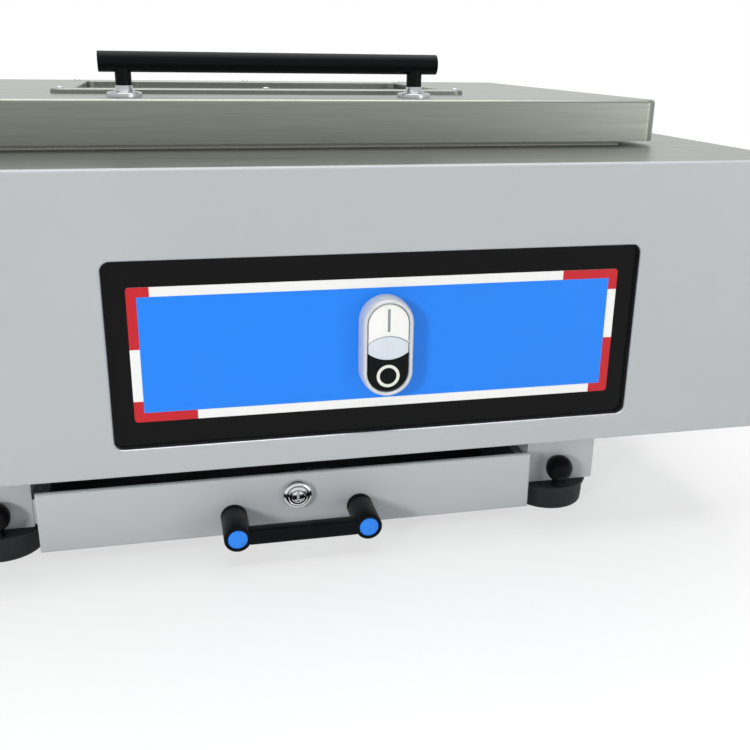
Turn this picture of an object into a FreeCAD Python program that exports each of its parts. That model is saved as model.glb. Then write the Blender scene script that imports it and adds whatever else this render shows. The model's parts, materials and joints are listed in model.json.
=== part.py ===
"""Bench-top batch reflow oven: a low sheet-metal body with a hinged lid over the heating chamber,
an operator panel with a double push-button, and a base with levelling feet and a lockable drawer.

Frame: millimetres, +Z up, the front faces -Y, origin on the bench under the middle of the oven.
"""
import FreeCAD
import Part
import Sketcher
from FreeCAD import Rotation, Vector

import math
import os
import re

# Driving dimensions: alias, value in millimetres (counts and angles as they are), what it is.
SIZES = [
    ("body_width", 600, "overall width"),
    ("body_depth", 460, "front panel's face to rear panel's face"),
    ("base_height", 71, "bench to the front panel's lower edge"),
    ("panel_height", 167.5, "front panel, lower edge to upper edge"),
    ("panel_thickness", 4, "front panel plate"),
    ("edge_radius", 1.5, "rounding of the panel's edges"),
    ("sheet_gauge", 1.5, "sheet metal of the casing"),
    ("fit_gap", 0.3, "gap between pieces that must not touch"),
    ("panel_gap", 0.5, "gap between neighbouring casing panels"),
    ("window_width", 302, "cut-out for the operator plate"),
    ("window_height", 104.5, "cut-out for the operator plate"),
    ("window_corner", 5, "corner radius of the cut-out"),
    ("window_offset", 46, "cut-out's centre, right of the oven's middle"),
    ("window_rise", 68.5, "cut-out's centre above the panel's lower edge"),
    ("plate_thickness", 3, "glossy operator plate"),
    ("plate_overlap", 10, "operator plate beyond the cut-out"),
    ("plate_stud", 4, "studs that hold the operator plate"),
    ("plate_nut", 8, "nuts on those studs, round"),
    ("label_side_margin", 11.5, "printed label to the cut-out, left and right"),
    ("label_end_margin", 14.45, "printed label to the cut-out, above and below"),
    ("label_corner", 1.8, "corner radius of the label"),
    ("label_border", 5.3, "border round the label's field"),
    ("label_thickness", 0.3, "label's film"),
    ("ink_thickness", 0.1, "printed layers on the film"),
    ("label_long_arm", 34, "long arm of a corner mark"),
    ("label_short_arm", 12, "short arm of a corner mark"),
    ("bezel_width", 30, "push-button's bezel"),
    ("bezel_length", 57.5, "push-button's bezel"),
    ("bezel_depth", 11, "bezel's rise above the label"),
    ("bezel_rim", 3.2, "bezel's rim beside the buttons"),
    ("bezel_round", 3, "rounding of the bezel's outer edge"),
    ("button_inset", 0.8, "button faces behind the bezel's face"),
    ("button_thickness", 3.4, "push-button caps"),
    ("button_travel", 3.5, "push-button stroke"),
    ("button_barrel", 22, "push-button's barrel through the plate"),
    ("barrel_length", 14, "barrel behind the plate"),
    ("barrel_nut", 29, "ring nut on the barrel"),
    ("barrel_nut_thickness", 4, "ring nut on the barrel"),
    ("lens_half_height", 6.7, "lens between the buttons, half its height"),
    ("lens_arc", 18.4, "radius of the lens's two arcs"),
    ("mark_depth", 0.25, "signs let into the buttons"),
    ("mark_stroke", 1.5, "line width of the on sign"),
    ("mark_length", 13, "bar of the on sign"),
    ("mark_ring", 13.2, "outer diameter of the off sign"),
    ("ring_stroke", 1.75, "line width of the off sign"),
    ("contact_depth", 26, "contact block behind the barrel"),
    ("drawer_setback", 40, "drawer front behind the panel's face"),
    ("drawer_front_width", 312, "drawer front"),
    ("drawer_front_height", 38.8, "drawer front"),
    ("drawer_front_thickness", 3, "drawer front"),
    ("drawer_clearance", 6.8, "bench to the drawer front"),
    ("drawer_depth", 290, "drawer box, front to back"),
    ("drawer_wall", 1.2, "sheet of the drawer box"),
    ("drawer_box_height", 32, "drawer box"),
    ("mat_thickness", 3, "anti-static foam mat in the drawer"),
    ("slide_thickness", 5, "each member of a drawer slide"),
    ("slide_height", 17, "drawer slide"),
    ("slide_length", 280, "drawer slide"),
    ("slide_rise", 1, "drawer slide above the rubber pads"),
    ("drawer_travel", 200, "drawer's pull-out"),
    ("handle_spacing", 80, "between the handle's posts"),
    ("handle_post", 16.5, "handle's posts"),
    ("handle_reach", 30.5, "handle's posts in front of the drawer"),
    ("handle_bar", 9, "bar between the posts, square"),
    ("handle_rise", 13, "handle's axis above the drawer front's lower edge"),
    ("cap_diameter", 12.2, "coloured caps in the posts"),
    ("cap_depth", 3, "coloured caps in the posts"),
    ("handle_screw", 5, "screws through the posts"),
    ("screw_head", 8.5, "heads of those screws"),
    ("screw_head_height", 5, "heads of those screws"),
    ("lock_rise", 25.5, "lock's axis above the drawer front's lower edge"),
    ("lock_flange", 18.5, "lock's flange"),
    ("lock_flange_thickness", 4, "lock's flange"),
    ("lock_body", 16, "lock's threaded body"),
    ("lock_length", 18, "lock's body behind the flange"),
    ("lock_plug", 12, "turning plug"),
    ("lock_nut_thickness", 4, "lock's nut"),
    ("lock_nut", 22, "lock's nut"),
    ("cam_length", 24, "cam's reach from the lock's axis"),
    ("cam_width", 12, "cam"),
    ("cam_thickness", 2.5, "cam"),
    ("key_slot_width", 1.6, "key slot in the plug"),
    ("key_slot_length", 8, "key slot in the plug"),
    ("frame_width", 48.5, "hollow side frames under the body"),
    ("frame_setback", 56, "side frame's front behind the panel's face"),
    ("frame_gauge", 2, "sheet of the side frames"),
    ("frame_inset", 21, "side frame's inner face, from the middle of its feet towards the drawer"),
    ("foot_offset", 181, "feet left and right of the middle"),
    ("foot_setback", 69.5, "feet behind the panel's face, and in front of the rear panel's face"),
    ("foot_diameter", 53, "rubber pads"),
    ("foot_height", 17, "rubber pads, which carry the side frames"),
    ("foot_socket", 8, "depth of the spindle in its pad"),
    ("foot_rim", 1.5, "pad's thin upper rim, outwards and in height"),
    ("foot_ball", 18, "ball knobs on the pads"),
    ("knob_setback", 49, "ball knobs behind the panel's face, and in front of the rear panel's face"),
    ("knob_rise", 12, "middle of a ball knob above its pad"),
    ("foot_neck", 9.5, "neck under the ball"),
    ("spindle", 8, "foot spindles"),
    ("spindle_nut", 15, "lock nuts on the spindles, across corners"),
    ("spindle_nut_height", 6.5, "lock nuts on the spindles"),
    ("tray_gauge", 2, "chassis tray's sheet"),
    ("tray_lip", 24, "chassis tray's turned-up edges"),
    ("front_lip", 3.5, "chassis tray's lower edge behind the front panel"),
    ("top_gauge", 2, "stainless top plate"),
    ("side_service", 85, "casing's outside to the chamber, left and right"),
    ("rear_service", 58, "rear panel's face to the chamber"),
    ("chamber_height", 118, "heating chamber, inside"),
    ("chamber_setback", 112, "chamber's front wall behind the panel's face"),
    ("liner_gauge", 1.2, "chamber's stainless sheet"),
    ("liner_rim", 12, "chamber's turned-out rim under the top plate"),
    ("insulation", 18, "ceramic-fibre blanket round the chamber"),
    ("heater_count", 6, "quartz heater tubes"),
    ("heater_diameter", 11, "quartz heater tubes"),
    ("heater_rise", 16, "tube axes above the chamber's floor"),
    ("heater_block", 16, "ceramic blocks at the tubes' ends, square"),
    ("rack_rise", 52, "circuit-board rack above the chamber's floor"),
    ("rack_wire", 5, "wires of the rack"),
    ("rack_bars", 9, "long wires of the rack"),
    ("rack_ledge", 14, "angle ledges that carry the rack"),
    ("probe_diameter", 4, "temperature probe"),
    ("probe_reach", 70, "temperature probe inside the chamber"),
    ("probe_collar", 12, "temperature probe's head"),
    ("probe_collar_length", 6, "temperature probe's head"),
    ("impeller_diameter", 84, "air-circulating impeller"),
    ("impeller_depth", 16, "impeller blades"),
    ("impeller_blades", 10, "impeller blades"),
    ("blade_thickness", 1.5, "blades of both fans"),
    ("fan_rise", 68, "impeller's axis above the chamber's floor"),
    ("motor_shaft", 6, "circulating motor's shaft"),
    ("motor_diameter", 28, "circulating motor"),
    ("motor_flange", 2, "circulating motor's flange plate"),
    ("flange_margin", 12, "flange plate beyond the motor, left and right"),
    ("shaft_seat", 6, "shaft's end inside the motor"),
    ("lid_setback", 92, "lid's front behind the panel's face"),
    ("lid_rear_margin", 36, "lid's rear edge in front of the rear panel's face"),
    ("lid_margin", 35, "lid beyond the chamber, left and right"),
    ("lid_height", 26, "lid"),
    ("lid_gauge", 1.2, "lid's sheet"),
    ("lid_corner", 8, "lid's upright corner radius"),
    ("gasket_width", 10, "fibre rope seal round the chamber"),
    ("gasket_height", 3, "seal's height above the top plate"),
    ("glass_width", 260, "sight glass in the lid"),
    ("glass_depth", 150, "sight glass in the lid"),
    ("glass_thickness", 4, "sight glass in the lid"),
    ("glass_frame", 14, "frame round the sight glass"),
    ("glass_frame_height", 3, "frame above the lid"),
    ("lid_handle_width", 180, "lid's handle, between its posts"),
    ("lid_handle_rise", 26, "lid's handle above the lid"),
    ("lid_handle_bar", 12, "lid's handle"),
    ("lid_handle_setback", 26, "lid's handle behind the lid's front"),
    ("hinge_length", 70, "lid hinges"),
    ("hinge_spacing", 320, "between the lid hinges"),
    ("hinge_pin", 6, "hinge pins"),
    ("hinge_barrel", 12, "hinge barrels"),
    ("hinge_running", 0.05, "pin's running clearance, on the radius"),
    ("lid_angle", 75, "lid's opening, degrees"),
    ("fan_size", 80, "cooling fan's frame, square"),
    ("fan_depth", 25, "cooling fan's frame"),
    ("fan_hub", 34, "cooling fan's hub"),
    ("fan_blades", 7, "cooling fan's blades"),
    ("fan_pitch", 71.5, "cooling fan's screw holes"),
    ("fan_hole", 4.3, "cooling fan's screw holes"),
    ("fan_spoke", 3, "cooling fan's spokes, thickness"),
    ("fan_pin", 4, "cooling fan's shaft"),
    ("fan_wall", 2, "cooling fan's frame beside the tunnel"),
    ("tip_gap", 1, "cooling fan's blades to the tunnel"),
    ("fan_offset", 190, "cooling fan's axis right of the middle, from behind left"),
    ("guard_wire", 2.4, "wire guard over the cooling fan"),
    ("inlet_width", 48, "mains inlet's flange"),
    ("inlet_height", 28, "mains inlet's flange"),
    ("inlet_depth", 24, "mains inlet behind the rear panel"),
    ("inlet_offset", 200, "mains inlet's middle left of the oven's middle"),
    ("vent_count", 12, "slots in each side panel"),
    ("vent_width", 4, "slots in each side panel"),
    ("vent_height", 46, "slots in each side panel"),
    ("vent_pitch", 14, "slots in each side panel"),
    ("board_width", 210, "control board"),
    ("board_height", 92, "control board"),
    ("board_thickness", 1.6, "control board"),
    ("standoff", 10, "spacers under the control board and relays"),
    ("relay_width", 45, "solid-state relays"),
    ("relay_height", 58, "solid-state relays"),
    ("relay_depth", 24, "solid-state relays"),
    ("supply_width", 99, "low-voltage power supply"),
    ("supply_height", 82, "low-voltage power supply"),
    ("supply_depth", 34, "low-voltage power supply"),
    ("supply_gap", 9, "power supply to the chamber's blanket"),
    ("supply_setback", 190, "power supply's front edge in front of the rear panel"),
]

doc = FreeCAD.newDocument("reflow_oven")
sheet = doc.addObject("Spreadsheet::Sheet", "Sizes")
for row, (alias, number, meaning) in enumerate(SIZES, start=1):
    sheet.set(f"A{row}", meaning)
    sheet.set(f"B{row}", str(number))
    sheet.setAlias(f"B{row}", alias)
doc.recompute()
ALIASES = re.compile(r"\b(" + "|".join(alias for alias, _, _ in SIZES) + r")\b")

# Places worked out from the driving dimensions. FRONT is the panel face's Y: the oven's box is centred.
FRONT_OUT = "(bezel_depth + label_thickness + ink_thickness - panel_thickness)"
REAR_OUT = "(1.5 * guard_wire)"
FRONT = f"(({FRONT_OUT} - {REAR_OUT} - body_depth) / 2)"
REAR = f"({FRONT} + body_depth)"
BODY_TOP = "(base_height + panel_height)"
WINDOW_Z = "(base_height + window_rise)"
LABEL_WIDTH = "(window_width - 2 * label_side_margin)"
LABEL_HEIGHT = "(window_height - 2 * label_end_margin)"
PLATE_Y = f"({FRONT} + panel_thickness)"
LABEL_Y = f"({PLATE_Y} - label_thickness)"
INK_Y = f"({LABEL_Y} - ink_thickness)"
BEZEL_FACE_Y = f"({INK_Y} - bezel_depth)"
BUTTON_Y = f"({BEZEL_FACE_Y} + button_inset)"
DRAWER_Y = f"({FRONT} + drawer_setback)"
DRAWER_BACK_Y = f"({DRAWER_Y} + drawer_front_thickness)"
HANDLE_Z = "(drawer_clearance + handle_rise)"
LOCK_Z = "(drawer_clearance + lock_rise)"
FRAME_IN_X = "(foot_offset - frame_inset)"
FRAME_Y = f"({FRONT} + frame_setback)"
FRAME_LENGTH = "(body_depth - 2 * frame_setback)"
TRAY_Z = "(base_height + panel_gap)"
TRAY_TOP_Z = f"({TRAY_Z} + tray_gauge)"
CASE_Y = f"({FRONT} + panel_thickness)"
TOP_Z = f"({BODY_TOP} - top_gauge)"
CHAMBER_WIDTH = "(body_width - 2 * side_service)"
CHAMBER_DEPTH = "(body_depth - chamber_setback - rear_service)"
LID_WIDTH = f"({CHAMBER_WIDTH} + 2 * lid_margin)"
CHAMBER_Y = f"({FRONT} + chamber_setback)"
CHAMBER_TOP_Z = TOP_Z
CHAMBER_FLOOR_Z = f"({CHAMBER_TOP_Z} - chamber_height)"
CHAMBER_REAR_Y = f"({CHAMBER_Y} + {CHAMBER_DEPTH})"
LID_Y = f"({FRONT} + lid_setback)"
LID_DEPTH = "(body_depth - lid_setback - lid_rear_margin)"
LID_Z = f"({BODY_TOP} + gasket_height)"
LID_TOP_Z = f"({LID_Z} + lid_height)"
HINGE_Y = f"({LID_Y} + {LID_DEPTH} + hinge_barrel / 2 + 1)"
HINGE_Z = f"({BODY_TOP} + hinge_barrel / 2)"
GLASS_Y = f"({CHAMBER_Y} + ({CHAMBER_DEPTH} - glass_depth) / 2 - 20)"
FAN_Z = f"({CHAMBER_FLOOR_Z} + fan_rise)"
REAR_IN_Y = f"({REAR} - sheet_gauge)"
COOLING_Z = f"({TRAY_TOP_Z} + tray_lip + fan_size / 2 + 6)"
INLET_Z = f"({TRAY_TOP_Z} + tray_lip + inlet_height)"

X_AXIS = Rotation(Vector(0, 1, 0), 90)
Y_AXIS = Rotation(Vector(1, 0, 0), -90)
Z_AXIS = Rotation()
serial = 0


def tie(text):
    """An expression in sheet aliases, written so that the document can read it."""
    return ALIASES.sub(r"Sizes.\1", str(text))


def number(text):
    """The present value of such an expression."""
    return float(sheet.evalExpression(tie(text)))


def count(alias):
    return int(round(number(alias)))


def fresh(kind, name="piece"):
    global serial
    serial += 1
    return doc.addObject(kind, f"{name}_{serial}")


def bind(thing, **expressions):
    for prop, text in expressions.items():
        thing.setExpression(prop.replace("__", "."), tie(text))
    return thing


def place(thing, x, y, z, turn=Z_AXIS):
    thing.Placement = FreeCAD.Placement(Vector(0, 0, 0), turn)
    return bind(thing, Placement__Base__x=x, Placement__Base__y=y, Placement__Base__z=z)


def box(x, y, z, length, width, height):
    """A block from its lowest corner."""
    block = bind(fresh("Part::Box", "block"), Length=length, Width=width, Height=height)
    return place(block, x, y, z)


def slab(x, y, z, length, width, height):
    """A block centred on x, from its front lower edge."""
    return box(f"{x} - ({length}) / 2", y, z, length, width, height)


def rod(x, y, z, diameter, length, turn=Z_AXIS):
    """A round bar from the middle of its first end."""
    bar = bind(fresh("Part::Cylinder", "rod"), Radius=f"({diameter}) / 2", Height=length)
    return place(bar, x, y, z, turn)


def ball(x, y, z, diameter):
    return place(bind(fresh("Part::Sphere", "ball"), Radius=f"({diameter}) / 2"), x, y, z)


def hexagon(x, y, z, across_corners, height, turn=Z_AXIS):
    prism = fresh("Part::Prism", "hexagon")
    prism.Polygon = 6
    bind(prism, Circumradius=f"({across_corners}) / 2", Height=height)
    return place(prism, x, y, z, turn)


def fuse(pieces):
    joined = fresh("Part::MultiFuse", "joined")
    joined.Shapes = pieces
    joined.Refine = True
    return joined


def cut(base, tools):
    result = fresh("Part::Cut", "cut")
    result.Base = base
    result.Tool = tools[0] if len(tools) == 1 else fuse(tools)
    result.Refine = True
    return result


def common(first, second):
    result = fresh("Part::Common", "common")
    result.Base, result.Tool = first, second
    return result


def group(pieces):
    """Separate solids that share one node."""
    result = fresh("Part::Compound", "group")
    result.Links = pieces
    return result


def rounded_slab(x, y, z, length, width, height, corner):
    """An upright plate, centred on x and z, with its four corners rounded; its thickness is along Y."""
    half_l, half_h = f"({length}) / 2", f"({height}) / 2"
    pieces = [
        box(f"{x} - {half_l} + {corner}", y, f"{z} - {half_h}", f"{length} - 2 * ({corner})", width,
            height),
        box(f"{x} - {half_l}", y, f"{z} - {half_h} + {corner}", length, width,
            f"{height} - 2 * ({corner})"),
    ]
    for side_x in (-1, 1):
        for side_z in (-1, 1):
            centre_x = f"{x} + {side_x} * ({half_l} - {corner})"
            centre_z = f"{z} + {side_z} * ({half_h} - {corner})"
            pieces.append(rod(centre_x, y, centre_z, f"2 * ({corner})", width, Y_AXIS))
    return fuse(pieces)


def flat_slab(x, y, z, length, width, height, corner):
    """A lying plate, centred on x and y, from its lower face, with its four upright corners rounded."""
    half_l, half_w = f"({length}) / 2", f"({width}) / 2"
    pieces = [
        box(f"{x} - {half_l} + {corner}", f"{y} - {half_w}", z, f"{length} - 2 * ({corner})", width,
            height),
        box(f"{x} - {half_l}", f"{y} - {half_w} + {corner}", z, length, f"{width} - 2 * ({corner})",
            height),
    ]
    for side_x in (-1, 1):
        for side_y in (-1, 1):
            centre_x = f"{x} + {side_x} * ({half_l} - {corner})"
            centre_y = f"{y} + {side_y} * ({half_w} - {corner})"
            pieces.append(rod(centre_x, centre_y, z, f"2 * ({corner})", height))
    return fuse(pieces)


def obround(x, y, z, width, length, depth):
    """An upright plate with half-round ends, centred on x and z; its thickness is along Y."""
    straight = f"({length}) - ({width})"
    pieces = [box(f"{x} - ({width}) / 2", y, f"{z} - ({straight}) / 2", width, depth, straight)]
    for side in (-1, 1):
        pieces.append(rod(x, y, f"{z} + {side} * ({straight}) / 2", width, depth, Y_AXIS))
    return fuse(pieces)


def edges_at(shape, axis, level, tolerance=1e-4):
    """Numbers of the edges that lie wholly in the plane where axis has this level."""
    low, high = axis + "Min", axis + "Max"
    found = []
    for index, edge in enumerate(shape.Edges, start=1):
        bounds = edge.BoundBox
        if abs(getattr(bounds, low) - level) < tolerance and abs(getattr(bounds, high) - level) < tolerance:
            found.append(index)
    return found


def round_edges(base, axis, level, radius):
    """The base with its edges in one plane rounded."""
    doc.recompute()
    rounded = fresh("Part::Fillet", "rounded")
    rounded.Base = base
    size = number(radius)
    rounded.Edges = [(edge, size, size) for edge in edges_at(base.Shape, axis, number(level))]
    return rounded


def body_plane(body, role):
    return next(feature for feature in body.Origin.OriginFeatures if feature.Role == role)


def outline(body, role, points):
    """A closed sketch of straight lines on one of the body's own planes, each corner tied to the sheet."""
    sketch = body.newObject("Sketcher::SketchObject", f"outline_{serial}")
    sketch.AttachmentSupport = [(body_plane(body, role), "")]
    sketch.MapMode = "FlatFace"
    spots = [Vector(number(u), number(v), 0) for u, v in points]
    for index, spot in enumerate(spots):
        sketch.addGeometry(Part.LineSegment(spot, spots[(index + 1) % len(spots)]))
    for index in range(len(points)):
        sketch.addConstraint(Sketcher.Constraint("Coincident", index, 2, (index + 1) % len(points), 1))
    for index, (u, v) in enumerate(points):
        for kind, text, value in (("DistanceX", u, spots[index].x), ("DistanceY", v, spots[index].y)):
            if abs(value) < 1e-9:
                other = "PointOnObject"
                sketch.addConstraint(Sketcher.Constraint(other, index, 1,
                                                         -2 if kind == "DistanceX" else -1))
                continue
            sketch.addConstraint(Sketcher.Constraint(kind, -1, 1, index, 1, value))
            sketch.setExpression(f"Constraints[{sketch.ConstraintCount - 1}]", tie(text))
    return sketch


def turned(points, x="0", y="0", z="0", turn=Z_AXIS):
    """A body turned about its own Z axis from an outline of (radius, height) corners."""
    body = fresh("PartDesign::Body", "body")
    sketch = outline(body, "XZ_Plane", points)
    revolution = body.newObject("PartDesign::Revolution", f"turn_{serial}")
    revolution.Profile = sketch
    revolution.ReferenceAxis = (sketch, ["V_Axis"])
    revolution.Angle = 360
    return place(body, x, y, z, turn)


nodes = {}


def node(name, thing):
    """Names a finished sub-part; its file takes the same name."""
    thing.Label = name
    nodes[name] = thing
    return thing


def make_front_panel():
    plate = slab("0", FRONT, "base_height", "body_width", "panel_thickness", "panel_height")
    opening = rounded_slab("window_offset", f"{FRONT} - 1", WINDOW_Z, "window_width", "panel_thickness + 2",
                           "window_height", "window_corner")
    node("front_panel", round_edges(cut(plate, [opening]), "Y", FRONT, "edge_radius"))


def make_operator_plate():
    plate = slab("window_offset", PLATE_Y, f"{WINDOW_Z} - window_height / 2 - plate_overlap",
                 "window_width + 2 * plate_overlap", "plate_thickness", "window_height + 2 * plate_overlap")
    hole = rod("window_offset", f"{PLATE_Y} - 1", WINDOW_Z, "button_barrel", "plate_thickness + 2", Y_AXIS)
    studs_z = [f"{WINDOW_Z} + {side} * (window_height / 2 + plate_overlap / 2)" for side in (-1, 1)]
    studs_x = [f"window_offset + {share} * window_width" for share in (-0.45, 0, 0.45)]
    holes = [rod(x, f"{PLATE_Y} - 1", z, "plate_stud + 2 * fit_gap", "plate_thickness + 2", Y_AXIS)
             for x in studs_x for z in studs_z]
    node("operator_plate", cut(plate, [hole] + holes))
    studs, nuts = [], []
    for x in studs_x:
        for z in studs_z:
            studs.append(rod(x, PLATE_Y, z, "plate_stud", "plate_thickness + 9", Y_AXIS))
            nut = hexagon(x, f"{PLATE_Y} + plate_thickness", z, "plate_nut", "4", Y_AXIS)
            nuts.append(cut(nut, [rod(x, PLATE_Y, z, "plate_stud", "plate_thickness + 9", Y_AXIS)]))
    node("operator_plate_fasteners", group(studs + nuts))


def make_label():
    film = rounded_slab("window_offset", LABEL_Y, WINDOW_Z, LABEL_WIDTH, "label_thickness", LABEL_HEIGHT,
                        "label_corner")
    hole = rod("window_offset", f"{INK_Y} - 1", WINDOW_Z, "button_barrel", "label_thickness + 2", Y_AXIS)
    node("label_film", cut(film, [hole]))
    field_width = f"({LABEL_WIDTH} - 2 * label_border)"
    field_height = f"({LABEL_HEIGHT} - 2 * label_border)"
    field = slab("window_offset", INK_Y, f"{WINDOW_Z} - {field_height} / 2", field_width, "ink_thickness",
                 field_height)
    hole = rod("window_offset", f"{INK_Y} - 1", WINDOW_Z, "button_barrel", "label_thickness + 2", Y_AXIS)
    node("label_field", cut(field, [hole]))
    # Each corner mark has a long and a short arm; the long arm is upright and level by turns.
    half_w, half_h = f"({LABEL_WIDTH} / 2)", f"({LABEL_HEIGHT} / 2)"
    marks = []
    for side_x, side_z, along_x, along_z in (
        (-1, 1, "label_short_arm", "label_long_arm"),
        (1, 1, "label_long_arm", "label_short_arm"),
        (1, -1, "label_short_arm", "label_long_arm"),
        (-1, -1, "label_long_arm", "label_short_arm"),
    ):
        middle_x = f"window_offset + {side_x} * ({half_w} - {along_x} / 2)"
        middle_z = f"{WINDOW_Z} + {side_z} * ({half_h} - {along_z} / 2)"
        whole = slab(middle_x, INK_Y, f"{middle_z} - {along_z} / 2", along_x, "ink_thickness", along_z)
        inner = slab("window_offset", f"{INK_Y} - 1", f"{WINDOW_Z} - {field_height} / 2", field_width,
                     "ink_thickness + 2", field_height)
        corner = rounded_slab("window_offset", INK_Y, WINDOW_Z, LABEL_WIDTH, "ink_thickness", LABEL_HEIGHT,
                              "label_corner")
        marks.append(common(cut(whole, [inner]), corner))
    node("label_corner_marks", group(marks))


def button_field(y, depth, shrink="0"):
    width = f"(bezel_width - 2 * bezel_rim - 2 * ({shrink}))"
    length = f"(bezel_length - 2 * bezel_rim - 2 * ({shrink}))"
    return obround("window_offset", y, WINDOW_Z, width, length, depth)


def lens_field(y, depth, grow="0"):
    arc = f"(2 * (lens_arc + ({grow})))"
    drop = "(lens_arc - lens_half_height)"
    upper = rod("window_offset", y, f"{WINDOW_Z} - {drop}", arc, depth, Y_AXIS)
    lower = rod("window_offset", y, f"{WINDOW_Z} + {drop}", arc, depth, Y_AXIS)
    return common(upper, lower)


def make_double_button():
    bezel = obround("window_offset", BEZEL_FACE_Y, WINDOW_Z, "bezel_width", "bezel_length", "bezel_depth")
    bezel = round_edges(bezel, "Y", BEZEL_FACE_Y, "bezel_round")
    node("button_bezel", cut(bezel, [button_field(f"{BEZEL_FACE_Y} - 1", "bezel_depth + 2")]))
    depth = "button_thickness"
    half = "(bezel_length / 2)"
    for name, side in (("on_button", 1), ("off_button", -1)):
        keep_z = WINDOW_Z if side > 0 else f"{WINDOW_Z} - {half}"
        keep = slab("window_offset", f"{BUTTON_Y} - 1", keep_z, "bezel_width", f"{depth} + 2", half)
        cap = common(button_field(BUTTON_Y, depth, "fit_gap"), keep)
        cap = cut(cap, [lens_field(f"{BUTTON_Y} - 1", f"{depth} + 2", "fit_gap")])
        stem_z = f"{WINDOW_Z} + {side} * {STEM_OFFSET}"
        stem = slab("window_offset", f"{BUTTON_Y} + {depth}", f"{stem_z} - 1.3", "4", STEM_LENGTH, "2.6")
        sign_z = f"{WINDOW_Z} + {side} * (lens_half_height + bezel_length / 2 - bezel_rim) / 2"
        sign = on_sign(sign_z) if side > 0 else off_sign(sign_z)
        bed = on_sign(sign_z) if side > 0 else off_sign(sign_z)
        node(name, cut(fuse([cap, stem]), [bed]))
        node(f"{name}_sign", sign)
    node("button_lens", common(button_field(BUTTON_Y, LENS_DEPTH, "fit_gap"),
                               lens_field(BUTTON_Y, LENS_DEPTH)))
    barrel = rod("window_offset", INK_Y, WINDOW_Z, "button_barrel - 0.1",
                 "label_thickness + ink_thickness + plate_thickness + barrel_length", Y_AXIS)
    slots = []
    for side in (-1, 1):
        stem_z = f"{WINDOW_Z} + {side} * {STEM_OFFSET}"
        slots.append(slab("window_offset", f"{INK_Y} - 1", f"{stem_z} - 1.7", "4.8", "30", "3.4"))
    barrel = cut(barrel, slots)
    nut_y = f"({PLATE_Y} + plate_thickness)"
    nut = hexagon("window_offset", nut_y, WINDOW_Z, "barrel_nut", "barrel_nut_thickness", Y_AXIS)
    bore = rod("window_offset", f"{nut_y} - 1", WINDOW_Z, "button_barrel", "barrel_nut_thickness + 2",
               Y_AXIS)
    ring_nut = cut(nut, [bore])
    block_y = f"({PLATE_Y} + plate_thickness + barrel_length)"
    block = slab("window_offset", block_y, f"{WINDOW_Z} - button_barrel", "button_barrel + 8",
                 "contact_depth",
                 "2 * button_barrel")
    ends = []
    for side in (-1, 1):
        stem_z = f"{WINDOW_Z} + {side} * {STEM_OFFSET}"
        ends.append(slab("window_offset", f"{block_y} - 1", f"{stem_z} - 1.7", "4.8", "12", "3.4"))
    node("button_switch_unit", group([barrel, ring_nut, cut(block, ends)]))


STEM_LENGTH = "(bezel_depth - button_inset - button_thickness + plate_thickness + barrel_length - fit_gap)"
STEM_OFFSET = "(lens_half_height + 1.9)"
LENS_DEPTH = f"({INK_Y} - {BUTTON_Y})"


def on_sign(z):
    return slab("window_offset", BUTTON_Y, f"{z} - mark_length / 2", "mark_stroke", "mark_depth",
                "mark_length")


def off_sign(z):
    outer = rod("window_offset", BUTTON_Y, z, "mark_ring", "mark_depth", Y_AXIS)
    inner = rod("window_offset", f"{BUTTON_Y} - 1", z, "mark_ring - 2 * ring_stroke", "mark_depth + 2",
                Y_AXIS)
    return cut(outer, [inner])


def make_drawer():
    face = slab("0", DRAWER_Y, "drawer_clearance", "drawer_front_width", "drawer_front_thickness",
                "drawer_front_height")
    holes = [rod("0", f"{DRAWER_Y} - 1", LOCK_Z, "lock_body + 0.1", "drawer_front_thickness + 2", Y_AXIS)]
    for side in (-1, 1):
        x = f"{side} * handle_spacing / 2"
        holes.append(rod(x, f"{DRAWER_Y} - 1", HANDLE_Z, "handle_screw + 2 * fit_gap",
                         "drawer_front_thickness + 2", Y_AXIS))
    node("drawer_front", cut(round_edges(face, "Y", DRAWER_Y, "edge_radius"), holes))
    outside = f"(2 * ({FRAME_IN_X} - 2 * slide_thickness - fit_gap))"
    box_z = "(drawer_clearance + 2)"
    shell = slab("0", DRAWER_BACK_Y, box_z, outside, "drawer_depth", "drawer_box_height")
    hollow = slab("0", f"{DRAWER_BACK_Y} + drawer_wall", f"{box_z} + drawer_wall",
                  f"{outside} - 2 * drawer_wall",
                  "drawer_depth - 2 * drawer_wall", "drawer_box_height")
    lock_way = slab("0", f"{DRAWER_BACK_Y} - 1", f"{LOCK_Z} - lock_nut / 2 - 1", "lock_nut + 2",
                    "drawer_wall + 2", "drawer_box_height + lock_nut")
    ways = [lock_way]
    for side in (-1, 1):
        x = f"{side} * handle_spacing / 2"
        ways.append(rod(x, f"{DRAWER_BACK_Y} - 1", HANDLE_Z, "screw_head + 4", "drawer_wall + 2", Y_AXIS))
    node("drawer_box", cut(cut(shell, [hollow]), ways))
    mat = slab("0", f"{DRAWER_BACK_Y} + 30", f"{box_z} + drawer_wall", f"{outside} - 2 * drawer_wall - 1",
               "drawer_depth - drawer_wall - 31", "mat_thickness")
    node("drawer_mat", mat)
    slide_z = "(foot_height + slide_rise)"
    moving, fixed = [], []
    for side in (-1, 1):
        inner_x = f"{side} * ({outside} / 2 + slide_thickness / 2)"
        moving.append(slab(inner_x, f"{DRAWER_BACK_Y} + 4", slide_z, "slide_thickness", "slide_length",
                           "slide_height"))
        outer_x = f"{side} * ({FRAME_IN_X} - slide_thickness / 2)"
        rail = slab(outer_x, f"{FRAME_Y} + 1", slide_z, "slide_thickness", "slide_length", "slide_height")
        fixed.append(rail)
    node("drawer_slides_moving", group(moving))
    node("drawer_slides_fixed", group(fixed))


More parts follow.
